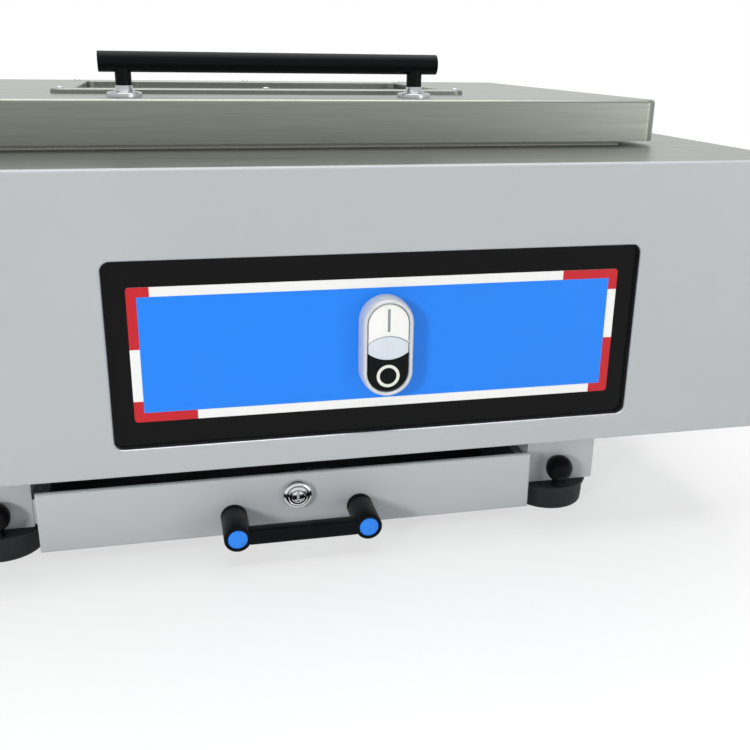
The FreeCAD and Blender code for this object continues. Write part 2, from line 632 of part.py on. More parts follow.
def make_handle():
    start = f"({DRAWER_Y} - handle_reach)"
    pieces, bores = [], []
    for side in (-1, 1):
        x = f"{side} * handle_spacing / 2"
        pieces.append(rod(x, start, HANDLE_Z, "handle_post", "handle_reach", Y_AXIS))
        bores.append(rod(x, f"{start} - 1", HANDLE_Z, "cap_diameter", "cap_depth + 1", Y_AXIS))
        bores.append(rod(x, f"{start} - 1", HANDLE_Z, "screw_head + 0.5",
                         "cap_depth + screw_head_height + 1 + 0.5", Y_AXIS))
        bores.append(rod(x, f"{start} - 1", HANDLE_Z, "handle_screw + 0.4", "handle_reach + 2", Y_AXIS))
    bar = slab("0", start, f"{HANDLE_Z} - handle_bar / 2", "handle_spacing", "handle_bar", "handle_bar")
    node("drawer_handle", cut(fuse(pieces + [bar]), bores))
    caps, screws, nuts = [], [], []
    for side in (-1, 1):
        x = f"{side} * handle_spacing / 2"
        caps.append(rod(x, start, HANDLE_Z, "cap_diameter", "cap_depth", Y_AXIS))
        head_y = f"({start} + cap_depth + 0.5)"
        head = rod(x, head_y, HANDLE_Z, "screw_head", "screw_head_height", Y_AXIS)
        shank = rod(x, head_y, HANDLE_Z, "handle_screw",
                    "handle_reach - cap_depth - 0.5 + drawer_front_thickness + 6", Y_AXIS)
        screws.append(fuse([head, shank]))
        nut = hexagon(x, DRAWER_BACK_Y, HANDLE_Z, "screw_head + 1.5", "4", Y_AXIS)
        nuts.append(cut(nut, [rod(x, DRAWER_Y, HANDLE_Z, "handle_screw", "20", Y_AXIS)]))
    node("handle_caps", group(caps))
    node("handle_fasteners", group(screws + nuts))


def make_lock():
    flange_y = f"({DRAWER_Y} - lock_flange_thickness)"
    # The profile runs along the lock's axis, from the flange's face to the end of the threaded body.
    housing = turned([
        ("lock_plug / 2 + 0.05", "0"),
        ("lock_flange / 2 - 1.5", "0"),
        ("lock_flange / 2", "1.5"),
        ("lock_flange / 2", "lock_flange_thickness"),
        ("lock_body / 2", "lock_flange_thickness"),
        ("lock_body / 2", "lock_flange_thickness + lock_length"),
        ("lock_plug / 2 + 0.05", "lock_flange_thickness + lock_length"),
    ], "0", flange_y, LOCK_Z, Y_AXIS)
    plug = rod("0", f"{flange_y} - 0.5", LOCK_Z, "lock_plug", "lock_flange_thickness + lock_length + 0.5",
               Y_AXIS)
    tail = rod("0", flange_y, LOCK_Z, "lock_plug * 0.6",
               "lock_flange_thickness + lock_length + cam_thickness + 3", Y_AXIS)
    slot = slab("0", f"{flange_y} - 1", f"{LOCK_Z} - key_slot_length / 2", "key_slot_width", "9",
                "key_slot_length")
    node("lock_plug", cut(fuse([plug, tail]), [slot]))
    cam_y = f"({DRAWER_Y} + lock_length + fit_gap)"
    blade = box("0", cam_y, f"{LOCK_Z} - cam_width / 2", "cam_length", "cam_thickness", "cam_width")
    boss = rod("0", cam_y, LOCK_Z, "cam_width", "cam_thickness", Y_AXIS)
    hole = rod("0", f"{cam_y} - 1", LOCK_Z, "lock_plug * 0.6", "cam_thickness + 2", Y_AXIS)
    node("lock_cam", cut(fuse([blade, boss]), [hole]))
    nut = hexagon("0", DRAWER_BACK_Y, LOCK_Z, "lock_nut", "lock_nut_thickness", Y_AXIS)
    bore = rod("0", f"{DRAWER_BACK_Y} - 1", LOCK_Z, "lock_body", "lock_nut_thickness + 2", Y_AXIS)
    node("lock_housing", group([housing, cut(nut, [bore])]))
    # Angle under the chassis: the raised cam stands behind its lip.
    lip_y = f"({cam_y} - frame_gauge - 1)"
    lip_low = f"({LOCK_Z} + cam_length - 9)"
    lip = slab("0", lip_y, lip_low, "60", "frame_gauge", f"{TRAY_Z} - {lip_low}")
    shelf = slab("0", f"{lip_y} - 12", f"{TRAY_Z} - frame_gauge", "60", "12 + frame_gauge", "frame_gauge")
    node("lock_strike", fuse([lip, shelf]))


FRONT_FOOT_Y = f"({FRONT} + foot_setback)"
REAR_FOOT_Y = f"({REAR} - foot_setback)"
FRONT_KNOB_Y = f"({FRONT} + knob_setback)"
REAR_KNOB_Y = f"({REAR} - knob_setback)"
KNOB_Z = "(foot_height + knob_rise)"
FOOT_PLACES = [(f"{side} * foot_offset", y) for y in (FRONT_FOOT_Y, REAR_FOOT_Y) for side in (-1, 1)]
KNOB_PLACES = [(f"{side} * foot_offset", y) for y in (FRONT_KNOB_Y, REAR_KNOB_Y) for side in (-1, 1)]


def make_side_frames():
    height = f"({TRAY_Z} - foot_height)"
    for name, side in (("side_frame_left", -1), ("side_frame_right", 1)):
        middle = f"{side} * ({FRAME_IN_X} + frame_width / 2)"
        shell = slab(middle, FRAME_Y, "foot_height", "frame_width", FRAME_LENGTH, height)
        hollow = slab(middle, f"{FRAME_Y} + frame_gauge", "foot_height - 1", "frame_width - 2 * frame_gauge",
                      f"{FRAME_LENGTH} - 2 * frame_gauge", f"{height} + 1 - frame_gauge")
        ways = []
        for x, y in FOOT_PLACES:
            ways.append(rod(x, y, "foot_height", "spindle + 2 * fit_gap", "2 * base_height"))
        for x, y in KNOB_PLACES:
            ways.append(ball(x, y, KNOB_Z, "foot_ball + 4 * fit_gap"))
        node(name, cut(cut(shell, [hollow]), ways))


def make_feet():
    pads, knobs, spindles, nuts = [], [], [], []
    for x, y in FOOT_PLACES:
        pads.append(turned([
            ("0", "0"),
            ("foot_diameter / 2 - foot_rim - 1", "0"),
            ("foot_diameter / 2 - foot_rim", "1"),
            ("foot_diameter / 2 - foot_rim", "foot_height - 2 * foot_rim"),
            ("foot_diameter / 2", "foot_height - foot_rim"),
            ("foot_diameter / 2", "foot_height"),
            ("spindle / 2", "foot_height"),
            ("spindle / 2", "foot_height - foot_socket"),
            ("0", "foot_height - foot_socket"),
        ], x, y, "0"))
        start = "(foot_height - foot_socket)"
        spindles.append(rod(x, y, start, "spindle", f"{TRAY_TOP_Z} + 12 - {start}"))
        for z in (f"{TRAY_Z} - frame_gauge - spindle_nut_height", TRAY_TOP_Z):
            nut = hexagon(x, y, z, "spindle_nut", "spindle_nut_height")
            nuts.append(cut(nut, [rod(x, y, f"{z} - 1", "spindle", "spindle_nut_height + 2")]))
    for x, y in KNOB_PLACES:
        neck = rod(x, y, "foot_height", "foot_neck", "knob_rise")
        knobs.append(fuse([neck, ball(x, y, KNOB_Z, "foot_ball")]))
    node("foot_pads", group(pads))
    node("foot_ball_knobs", group(knobs))
    node("foot_spindles", group(spindles + nuts))


def make_casing():
    inside_width = "(body_width - 2 * sheet_gauge)"
    case_depth = f"({REAR_IN_Y} - {CASE_Y})"
    tray_width = f"({inside_width} - 2 * panel_gap)"
    shell = slab("0", CASE_Y, TRAY_Z, tray_width, f"{case_depth} - panel_gap", "tray_lip")
    hollow = slab("0", f"{CASE_Y} + tray_gauge", TRAY_TOP_Z, f"{tray_width} - 2 * tray_gauge",
                  f"{case_depth} - panel_gap - 2 * tray_gauge", "tray_lip")
    holes = [rod(x, y, f"{TRAY_Z} - 1", "spindle + 2 * fit_gap", "tray_gauge + 2") for x, y in FOOT_PLACES]
    front_way = slab("0", f"{CASE_Y} - 1", f"{TRAY_TOP_Z} + front_lip", "body_width", "tray_gauge + 2",
                     "tray_lip")
    node("chassis_tray", cut(cut(shell, [hollow, front_way]), holes))
    side_height = f"({TOP_Z} - {TRAY_Z} - panel_gap)"
    for name, side in (("side_panel_left", -1), ("side_panel_right", 1)):
        middle = f"{side} * (body_width - sheet_gauge) / 2"
        plate = slab(middle, CASE_Y, TRAY_Z, "sheet_gauge", f"{REAR} - {CASE_Y}", side_height)
        slots = []
        for index in range(count("vent_count")):
            y = f"{FRONT} + body_depth / 2 + ({index} - (vent_count - 1) / 2) * vent_pitch - vent_width / 2"
            slots.append(slab(middle, y, f"{TRAY_TOP_Z} + tray_lip + 14", "sheet_gauge + 2", "vent_width",
                              "vent_height"))
        node(name, cut(plate, slots))
    rear = slab("0", REAR_IN_Y, TRAY_Z, f"{inside_width} - 2 * panel_gap", "sheet_gauge", side_height)
    openings = [rod("-fan_offset", f"{REAR_IN_Y} - 1", COOLING_Z, "fan_size - 2 * fan_wall",
                    "sheet_gauge + 2", Y_AXIS)]
    for x, z in fan_holes():
        openings.append(rod(x, f"{REAR_IN_Y} - 1", z, "fan_hole", "sheet_gauge + 2", Y_AXIS))
    openings.append(slab("inlet_offset", f"{REAR_IN_Y} - 1", f"{INLET_Z} - inlet_height / 2 + 2",
                         "inlet_width - 18", "sheet_gauge + 2", "inlet_height - 4"))
    node("rear_panel", cut(rear, openings))


def fan_holes():
    return [(f"-fan_offset + {a} * fan_pitch / 2", f"{COOLING_Z} + {b} * fan_pitch / 2")
            for a in (-1, 1) for b in (-1, 1)]


def make_top_plate():
    plate = slab("0", CASE_Y, TOP_Z, "body_width", f"{REAR} - {CASE_Y}", "top_gauge")
    mouth = slab("0", CHAMBER_Y, f"{TOP_Z} - 1", CHAMBER_WIDTH, CHAMBER_DEPTH, "top_gauge + 2")
    node("top_plate", round_edges(cut(plate, [mouth]), "Z", BODY_TOP, "edge_radius / 2"))
    outer = slab("0", f"{CHAMBER_Y} - gasket_width - 2", BODY_TOP,
                 f"{CHAMBER_WIDTH} + 2 * gasket_width + 4",
                 f"{CHAMBER_DEPTH} + 2 * gasket_width + 4", "gasket_height - fit_gap")
    inner = slab("0", f"{CHAMBER_Y} - 2", f"{BODY_TOP} - 1", f"{CHAMBER_WIDTH} + 4", f"{CHAMBER_DEPTH} + 4",
                 "gasket_height + 2")
    node("chamber_seal", cut(outer, [inner]))


def make_chamber():
    outer_w = f"({CHAMBER_WIDTH} + 2 * liner_gauge)"
    outer_d = f"({CHAMBER_DEPTH} + 2 * liner_gauge)"
    shell = slab("0", f"{CHAMBER_Y} - liner_gauge", f"{CHAMBER_FLOOR_Z} - liner_gauge", outer_w, outer_d,
                 "chamber_height + liner_gauge")
    rim = slab("0", f"{CHAMBER_Y} - liner_gauge - liner_rim", f"{CHAMBER_TOP_Z} - liner_gauge",
               f"{outer_w} + 2 * liner_rim", f"{outer_d} + 2 * liner_rim", "liner_gauge")
    hollow = slab("0", CHAMBER_Y, CHAMBER_FLOOR_Z, CHAMBER_WIDTH, CHAMBER_DEPTH, "chamber_height + 2")
    shaft_way = rod("0", f"{CHAMBER_REAR_Y} - 1", FAN_Z, "motor_shaft + 2", "liner_gauge + 2", Y_AXIS)
    probe_way = rod(PROBE_X, f"{CHAMBER_REAR_Y} - 1", PROBE_Z, "probe_diameter", "liner_gauge + 2", Y_AXIS)
    node("chamber_liner", fuse([cut(fuse([shell, rim]), [hollow, shaft_way, probe_way])] + rack_ledges()))
    blanket = slab("0", f"{CHAMBER_Y} - liner_gauge - insulation",
                   f"{CHAMBER_FLOOR_Z} - liner_gauge - insulation",
                   f"{outer_w} + 2 * insulation", f"{outer_d} + 2 * insulation",
                   "chamber_height + insulation - liner_gauge")
    core = slab("0", f"{CHAMBER_Y} - liner_gauge", f"{CHAMBER_FLOOR_Z} - liner_gauge", outer_w, outer_d,
                "chamber_height + 2 * insulation")
    shaft_hole = rod("0", f"{CHAMBER_REAR_Y} - 1", FAN_Z, "motor_shaft + 4", "insulation + 6", Y_AXIS)
    probe_hole = rod(PROBE_X, f"{CHAMBER_REAR_Y} - 1", PROBE_Z, "probe_diameter", "insulation + 6", Y_AXIS)
    node("chamber_insulation", cut(blanket, [core, shaft_hole, probe_hole]))


PROBE_X = f"({CHAMBER_WIDTH} / 4)"
PROBE_Z = f"({CHAMBER_FLOOR_Z} + rack_rise + 14)"


def make_heaters():
    tubes, blocks = [], []
    pitch = f"({CHAMBER_DEPTH} / heater_count)"
    for index in range(count("heater_count")):
        y = f"{CHAMBER_Y} + ({index} + 0.5) * {pitch}"
        z = f"({CHAMBER_FLOOR_Z} + heater_rise)"
        length = f"({CHAMBER_WIDTH} - 2 * fit_gap)"
        tubes.append(rod(f"-{length} / 2", y, z, "heater_diameter", length, X_AXIS))
        for side in (-1, 1):
            middle = f"{side} * ({CHAMBER_WIDTH} - heater_block) / 2"
            block = slab(middle, f"{y} - heater_block / 2", CHAMBER_FLOOR_Z, "heater_block", "heater_block",
                         "heater_rise + heater_block / 2")
            way = rod(f"{middle} - heater_block", y, z, "heater_diameter", "2 * heater_block", X_AXIS)
            blocks.append(cut(block, [way]))
    node("heater_tubes", group(tubes))
    node("heater_blocks", group(blocks))


def rack_ledges():
    """Angle strips welded to the chamber's sides."""
    z = f"({CHAMBER_FLOOR_Z} + rack_rise)"
    ledges = []
    for side in (-1, 1):
        wall_x = f"{side} * ({CHAMBER_WIDTH} / 2 - rack_ledge / 2)"
        ledges.append(fuse([
            slab(wall_x, f"{CHAMBER_Y} + 30", f"{z} - liner_gauge", "rack_ledge", f"{CHAMBER_DEPTH} - 100",
                 "liner_gauge"),
            slab(f"{side} * ({CHAMBER_WIDTH} / 2 - liner_gauge / 2)", f"{CHAMBER_Y} + 30",
                 f"{z} - liner_gauge",
                 "liner_gauge", f"{CHAMBER_DEPTH} - 100", "rack_ledge"),
        ]))
    return ledges


def make_rack():
    z = f"({CHAMBER_FLOOR_Z} + rack_rise)"
    length = f"({CHAMBER_WIDTH} - 2 * liner_gauge - 4)"
    depth = f"({CHAMBER_DEPTH} - 110)"
    wires = []
    for index in range(count("rack_bars")):
        y = f"{CHAMBER_Y} + 35 + rack_wire / 2 + {index} * ({depth} - rack_wire) / (rack_bars - 1)"
        wires.append(rod(f"-{length} / 2", y, f"{z} + rack_wire / 2", "rack_wire", length, X_AXIS))
    for share in (-0.48, -0.16, 0.16, 0.48):
        x = f"{share} * ({length} - rack_wire)"
        wires.append(rod(x, f"{CHAMBER_Y} + 35", f"{z} + rack_wire * 0.9", "rack_wire", depth, Y_AXIS))
    node("board_rack", fuse(wires))


def make_probe():
    sheath = rod(PROBE_X, f"{CHAMBER_REAR_Y} - probe_reach", PROBE_Z, "probe_diameter",
                 "probe_reach + liner_gauge + insulation + 2", Y_AXIS)
    collar = rod(PROBE_X, f"{CHAMBER_REAR_Y} + liner_gauge + insulation + 2", PROBE_Z, "probe_collar",
                 "probe_collar_length", Y_AXIS)
    node("temperature_probe", fuse([sheath, collar]))


def blades(diameter, hub, depth, how_many, pitch_angle, thickness):
    """Flat blades round a Y axis at the origin, each set at its pitch, cut to the tip diameter."""
    solids = []
    for index in range(how_many):
        blade = Part.makeBox(thickness, depth, diameter / 2, Vector(-thickness / 2, 0, 0))
        blade.rotate(Vector(0, depth / 2, 0), Vector(0, 0, 1), pitch_angle)
        blade.rotate(Vector(0, 0, 0), Vector(0, 1, 0), 360.0 * index / how_many)
        solids.append(blade)
    core = Part.makeCylinder(hub / 2, depth, Vector(0, 0, 0), Vector(0, 1, 0))
    tip = Part.makeCylinder(diameter / 2, depth, Vector(0, 0, 0), Vector(0, 1, 0))
    return core.multiFuse(solids).common(tip).removeSplitter()


def make_circulating_fan():
    face_gap = 4
    start = f"({CHAMBER_REAR_Y} - impeller_depth - {face_gap})"
    wheel = blades(number("impeller_diameter"), number("motor_shaft") + 10, number("impeller_depth"),
                   count("impeller_blades"), 0, number("blade_thickness"))
    disc = Part.makeCylinder(number("impeller_diameter") / 2, 1.5, Vector(0,
                                                                          number("impeller_depth") - 1.5,
                                                                          0),
                             Vector(0, 1, 0))
    bore = Part.makeCylinder(number("motor_shaft") / 2, number("impeller_depth") + 2, Vector(0, -1, 0),
                             Vector(0, 1, 0))
    impeller = fresh("Part::Feature", "impeller")
    impeller.Shape = wheel.fuse(disc).cut(bore).removeSplitter()
    place(impeller, "0", start, FAN_Z)
    motor_y = f"({CHAMBER_REAR_Y} + liner_gauge + insulation)"
    shaft = rod("0", start, FAN_Z, "motor_shaft", f"{motor_y} + shaft_seat - {start}", Y_AXIS)
    node("circulating_impeller", fuse([impeller, shaft]))
    motor_length = f"({REAR_IN_Y} - {motor_y} - fit_gap)"
    motor = rod("0", motor_y, FAN_Z, "motor_diameter", motor_length, Y_AXIS)
    flange = slab("0", motor_y, f"{FAN_Z} - motor_diameter / 2 - flange_margin / 2",
                  "motor_diameter + 2 * flange_margin",
                  "motor_flange", "motor_diameter + flange_margin")
    bore = rod("0", f"{motor_y} - 1", FAN_Z, "motor_shaft + 0.1", "shaft_seat + 1 + fit_gap", Y_AXIS)
    node("circulating_motor", cut(fuse([motor, flange]), [bore]))


def make_cooling_fan():
    frame_y = f"({REAR_IN_Y} - fan_depth)"
    frame = rounded_slab("-fan_offset", frame_y, COOLING_Z, "fan_size", "fan_depth", "fan_size", "4")
    tunnel = rod("-fan_offset", f"{frame_y} - 1", COOLING_Z, "fan_size - 2 * fan_wall", "fan_depth - 2",
                 Y_AXIS)
    mouth = rod("-fan_offset", f"{frame_y} - 1", COOLING_Z, "fan_size - 2 * fan_wall", "fan_depth + 2",
                Y_AXIS)
    holes = [rod(x, f"{frame_y} - 1", z, "fan_hole", "fan_depth + 2", Y_AXIS) for x, z in fan_holes()]
    ring = cut(frame, [tunnel, mouth] + holes)
    spokes = [rod("-fan_offset", f"{frame_y}", COOLING_Z, "fan_hub", "fan_spoke", Y_AXIS)]
    spokes.append(slab("-fan_offset", frame_y, f"{COOLING_Z} - 2", "fan_size - fan_wall", "fan_spoke", "4"))
    spokes.append(slab("-fan_offset", frame_y, f"{COOLING_Z} - (fan_size - fan_wall) / 2", "4",
                       "fan_spoke", "fan_size - fan_wall"))
    pin_way = rod("-fan_offset", f"{frame_y} - 1", COOLING_Z, "fan_pin + 0.1", "fan_spoke + 3", Y_AXIS)
    node("cooling_fan_frame", cut(fuse([ring] + spokes), [pin_way]))
    wheel = blades(number("fan_size - 2 * fan_wall - 2 * tip_gap"), number("fan_hub"),
                   number("fan_depth - 2 * fan_spoke"), count("fan_blades"), 38, number("blade_thickness"))
    pin = Part.makeCylinder(number("fan_pin / 2"), number("fan_spoke + 2.5"), Vector(0,
                                                                                     -number("fan_spoke"),
                                                                                     0),
                            Vector(0, 1, 0))
    rotor = fresh("Part::Feature", "rotor")
    rotor.Shape = wheel.fuse(pin).removeSplitter()
    node("cooling_fan_rotor", place(rotor, "-fan_offset", f"{frame_y} + fan_spoke + fit_gap", COOLING_Z))
    wires = []
    for share in (0.28, 0.52, 0.76, 1.0):
        ring_wire = bind(fresh("Part::Torus", "ring"), Radius1=f"{share} * (fan_size / 2 - fan_wall)",
                         Radius2="guard_wire / 2")
        wires.append(place(ring_wire, "-fan_offset", f"{REAR} + guard_wire", COOLING_Z, Y_AXIS))
    reach = "(fan_pitch * 1.4142136)"
    for angle in (45, 135):
        turn = Rotation(Vector(0, 1, 0), angle)
        bar = bind(fresh("Part::Box", "stay"), Length=reach, Width="guard_wire", Height="guard_wire")
        tilt = f"{reach} / 2 * {math.cos(math.radians(angle))!r}"
        rise = f"{reach} / 2 * {math.sin(math.radians(angle))!r}"
        place(bar, f"-fan_offset - {tilt}", REAR, f"{COOLING_Z} + {rise}", turn)
        wires.append(bar)
    guard = fuse(wires)
    screws = []
    for x, z in fan_holes():
        shank = rod(x, f"{frame_y} + 4", z, "fan_hole - 0.3", f"{REAR} - {frame_y} - 4", Y_AXIS)
        head = rod(x, REAR, z, "fan_hole * 1.8", "guard_wire * 0.8", Y_AXIS)
        screws += [shank, head]
    node("cooling_fan_guard", fuse([guard] + screws))


def make_inlet():
    flange = rounded_slab("inlet_offset", REAR, INLET_Z, "inlet_width", "3", "inlet_height", "3")
    body = slab("inlet_offset", f"{REAR} - inlet_depth", f"{INLET_Z} - inlet_height / 2 + 2 + fit_gap",
                "inlet_width - 18 - 2 * fit_gap", "inlet_depth + 1", "inlet_height - 4 - 2 * fit_gap")
    well = slab("inlet_offset", f"{REAR} - inlet_depth + 6", f"{INLET_Z} - 8", "24", "inlet_depth", "16")
    holes = [rod(f"inlet_offset + {side} * 20", f"{REAR} - 1", INLET_Z, "3.2", "6",
                 Y_AXIS) for side in (-1, 1)]
    pins = []
    for dx, dz in ((-7, -2), (7, -2), (0, 2)):
        pins.append(slab(f"inlet_offset + {dx}", f"{REAR} - inlet_depth + 6", f"{INLET_Z} + {dz} - 2", "2",
                         "14", "4"))
    node("mains_inlet", fuse([cut(fuse([flange, body]), [well] + holes)] + pins))


def make_electronics():
    wall_y = f"({CHAMBER_Y} - liner_gauge - insulation - sheet_gauge - 1)"
    wall = slab("0", wall_y, f"{TRAY_TOP_Z}", f"{CHAMBER_WIDTH} + 60", "sheet_gauge",
                f"{TOP_Z} - {TRAY_TOP_Z} - panel_gap")
    board_x = f"-{CHAMBER_WIDTH} / 4 - 20"
    board_y = f"({wall_y} - standoff - board_thickness)"
    board_z = f"({TRAY_TOP_Z} + 40)"
    node("control_board", slab(board_x, board_y, board_z, "board_width", "board_thickness", "board_height"))
    posts = []
    for a in (-1, 1):
        for b in (0.1, 0.9):
            x = f"{board_x} + {a} * (board_width / 2 - 8)"
            posts.append(rod(x, f"{board_y} + board_thickness", f"{board_z} + {b} * board_height", "7",
                             "standoff",
                             Y_AXIS))
    node("heat_shield", fuse([wall] + posts))
    relays = []
    for index in (0, 1):
        x = f"{CHAMBER_WIDTH} / 2 - relay_width / 2 - {index} * (relay_width + 12)"
        relays.append(slab(x, f"{wall_y} - relay_depth", f"{TRAY_TOP_Z} + 50", "relay_width", "relay_depth",
                           "relay_height"))
    node("heater_relays", group(relays))
    node("power_supply", slab(f"{CHAMBER_WIDTH} / 2 + insulation + supply_gap + supply_depth / 2",
                              f"{REAR_IN_Y} - supply_setback", TRAY_TOP_Z,
                              "supply_depth", "supply_width", "supply_height"))


def make_lid():
    middle_y = f"({LID_Y} + {LID_DEPTH} / 2)"
    shell = flat_slab("0", middle_y, LID_Z, LID_WIDTH, LID_DEPTH, "lid_height", "lid_corner")
    shell = round_edges(shell, "Z", LID_TOP_Z, "lid_gauge * 2")
    hollow = flat_slab("0", middle_y, f"{LID_Z} - 1", f"{LID_WIDTH} - 2 * lid_gauge",
                       f"{LID_DEPTH} - 2 * lid_gauge",
                       "lid_height + 1 - lid_gauge", "lid_corner - lid_gauge")
    glass_middle = f"({GLASS_Y} + glass_depth / 2)"
    sight = flat_slab("0", glass_middle, LID_Z, "glass_width - glass_frame", "glass_depth - glass_frame",
                      "lid_height + 2", "6")
    node("lid_skin", cut(shell, [hollow, sight]))
    frame = flat_slab("0", glass_middle, LID_TOP_Z, "glass_width + glass_frame",
                      "glass_depth + glass_frame",
                      "glass_frame_height", "8")
    eye = flat_slab("0", glass_middle, f"{LID_TOP_Z} - 1", "glass_width - glass_frame",
                    "glass_depth - glass_frame",
                    "glass_frame_height + 2", "6")
    node("glass_frame", round_edges(cut(frame, [eye]), "Z", f"{LID_TOP_Z} + glass_frame_height", "1"))
    node("sight_glass", slab("0", GLASS_Y, f"{LID_TOP_Z} - lid_gauge - glass_thickness", "glass_width",
                             "glass_depth",
                             "glass_thickness"))
    pan_w, pan_d = f"({LID_WIDTH} - 2 * lid_gauge - 1)", f"({LID_DEPTH} - 2 * lid_gauge - 1)"
    pan = flat_slab("0", middle_y, LID_Z, pan_w, pan_d, "lid_gauge", "lid_corner - lid_gauge")
    pan_eye = flat_slab("0", glass_middle, f"{LID_Z} - 1", "glass_width - glass_frame",
                        "glass_depth - glass_frame",
                        "lid_gauge + 2", "6")
    pan = cut(pan, [pan_eye])
    fill_z = f"({LID_Z} + lid_gauge)"
    fill_height = f"(lid_height - 2 * lid_gauge)"
    fill = flat_slab("0", middle_y, fill_z, pan_w, pan_d, fill_height, "lid_corner - lid_gauge")
    well = slab("0", GLASS_Y, f"{fill_z} - 1", "glass_width", "glass_depth", f"{fill_height} + 2")
    node("lid_insulation", cut(fill, [well]))
    lower = f"(lid_height - 2 * lid_gauge - glass_thickness)"
    spacer = slab("0", GLASS_Y, fill_z, "glass_width", "glass_depth", lower)
    spacer_eye = flat_slab("0", glass_middle, f"{fill_z} - 1", "glass_width - glass_frame",
                           "glass_depth - glass_frame",
                           f"{lower} + 2", "6")
    node("lid_inner_pan", fuse([pan, cut(spacer, [spacer_eye])]))


def make_lid_handle():
    y = f"({LID_Y} + lid_handle_setback)"
    z = f"({LID_TOP_Z} + lid_handle_rise - lid_handle_bar / 2)"
    bar = rod(f"-lid_handle_width / 2 - 14", y, z, "lid_handle_bar", "lid_handle_width + 28", X_AXIS)
    posts = [rod(f"{side} * lid_handle_width / 2", y, LID_TOP_Z, "lid_handle_bar * 0.8",
                 "lid_handle_rise - lid_handle_bar / 2") for side in (-1, 1)]
    node("lid_handle", fuse([bar] + posts))


def make_hinges():
    fixed, moving = [], []
    third = "(hinge_length / 3)"
    gap = "fit_gap"
    bore = "hinge_pin + 2 * hinge_running"
    for side in (-1, 1):
        middle = f"{side} * hinge_spacing / 2"
        start = f"{middle} - hinge_length / 2"
        pin = rod(start, HINGE_Y, HINGE_Z, "hinge_pin", "hinge_length", X_AXIS)
        outer = []
        for share in (0, 2):
            outer.append(rod(f"{start} + {share} * {third}", HINGE_Y, HINGE_Z, "hinge_barrel", third,
                             X_AXIS))
            outer.append(box(f"{start} + {share} * {third}", f"{HINGE_Y} - hinge_barrel / 4", BODY_TOP,
                             third,
                             "hinge_barrel / 2", "hinge_barrel / 2"))
        leaf = box(start, f"{HINGE_Y} - hinge_barrel / 4", BODY_TOP, "hinge_length",
                   f"{REAR} - {HINGE_Y} + hinge_barrel / 4 - 4", "1.5")
        relief = rod(f"{start} + {third}", HINGE_Y, HINGE_Z, "hinge_barrel + 2 * fit_gap", third, X_AXIS)
        hole = rod(f"{start} - 1", HINGE_Y, HINGE_Z, "hinge_pin", "hinge_length + 2", X_AXIS)
        fixed.append(fuse([cut(fuse(outer + [leaf]), [relief, hole]), pin]))
        knuckle = rod(f"{start} + {third} + {gap}", HINGE_Y, HINGE_Z, "hinge_barrel",
                      f"{third} - 2 * {gap}", X_AXIS)
        arm = box(f"{start} + {third} + {gap}", f"{LID_Y} + {LID_DEPTH}", f"{HINGE_Z} - 1.5",
                  f"{third} - 2 * {gap}",
                  f"{HINGE_Y} - {LID_Y} - {LID_DEPTH}", "3")
        pad = box(f"{start} + {third} + {gap}", f"{LID_Y} + {LID_DEPTH}", f"{LID_Z} + 1",
                  f"{third} - 2 * {gap}",
                  "1.2", "lid_height - 6")
        eye = rod(f"{start}", HINGE_Y, HINGE_Z, bore, "hinge_length", X_AXIS)
        moving.append(cut(fuse([knuckle, arm, pad]), [eye]))
    node("hinge_leaves_fixed", group(fixed))
    node("hinge_leaves_lid", group(moving))


def export():
    """Checks every object and every sub-part, then writes one file for each node."""
    doc.recompute()
    faults = [f"{item.Name}: {item.State}" for item in doc.Objects
              if "Invalid" in item.State or "Error" in item.State]
    for name, thing in nodes.items():
        shape = thing.Shape
        if shape.isNull() or not shape.isValid() or not shape.Solids:
            faults.append(f"{name}: empty or not valid")
    if faults:
        raise RuntimeError("; ".join(faults))
    os.makedirs("parts", exist_ok=True)
    for name, thing in nodes.items():
        thing.Shape.exportStep(f"parts/{name}.step")
    print(len(nodes), "nodes")


make_front_panel()
make_operator_plate()
make_label()
make_double_button()
make_drawer()
make_handle()
make_lock()
make_side_frames()
make_feet()
make_casing()
make_top_plate()
make_chamber()
make_heaters()
make_rack()
make_probe()
make_circulating_fan()
make_cooling_fan()
make_inlet()
make_electronics()
make_lid()
make_lid_handle()
make_hinges()
export()
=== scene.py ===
import json
import math

import bpy
from mathutils import Matrix, Vector


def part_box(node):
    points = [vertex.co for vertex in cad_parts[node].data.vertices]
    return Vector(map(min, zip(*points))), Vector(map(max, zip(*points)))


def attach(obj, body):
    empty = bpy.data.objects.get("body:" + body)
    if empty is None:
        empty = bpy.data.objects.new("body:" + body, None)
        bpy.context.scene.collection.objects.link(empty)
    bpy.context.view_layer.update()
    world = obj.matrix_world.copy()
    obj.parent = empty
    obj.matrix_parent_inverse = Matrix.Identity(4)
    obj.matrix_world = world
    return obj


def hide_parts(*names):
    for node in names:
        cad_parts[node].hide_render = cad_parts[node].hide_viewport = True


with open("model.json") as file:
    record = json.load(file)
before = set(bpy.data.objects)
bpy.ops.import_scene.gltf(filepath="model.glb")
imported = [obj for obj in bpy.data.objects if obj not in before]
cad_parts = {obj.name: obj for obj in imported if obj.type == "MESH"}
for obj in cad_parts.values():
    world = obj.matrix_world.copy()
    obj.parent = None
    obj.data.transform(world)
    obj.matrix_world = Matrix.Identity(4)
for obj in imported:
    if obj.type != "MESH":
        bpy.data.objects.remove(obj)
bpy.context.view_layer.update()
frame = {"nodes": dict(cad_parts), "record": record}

nodes = frame["nodes"]
MM = 0.001
FULL_TURN = 2 * math.pi
# Points closer than this, in metres, count as level.
NEAR = 1e-6
# Colour sockets of the Mix node.
MIX_A, MIX_B, MIX_RESULT = 6, 7, 2


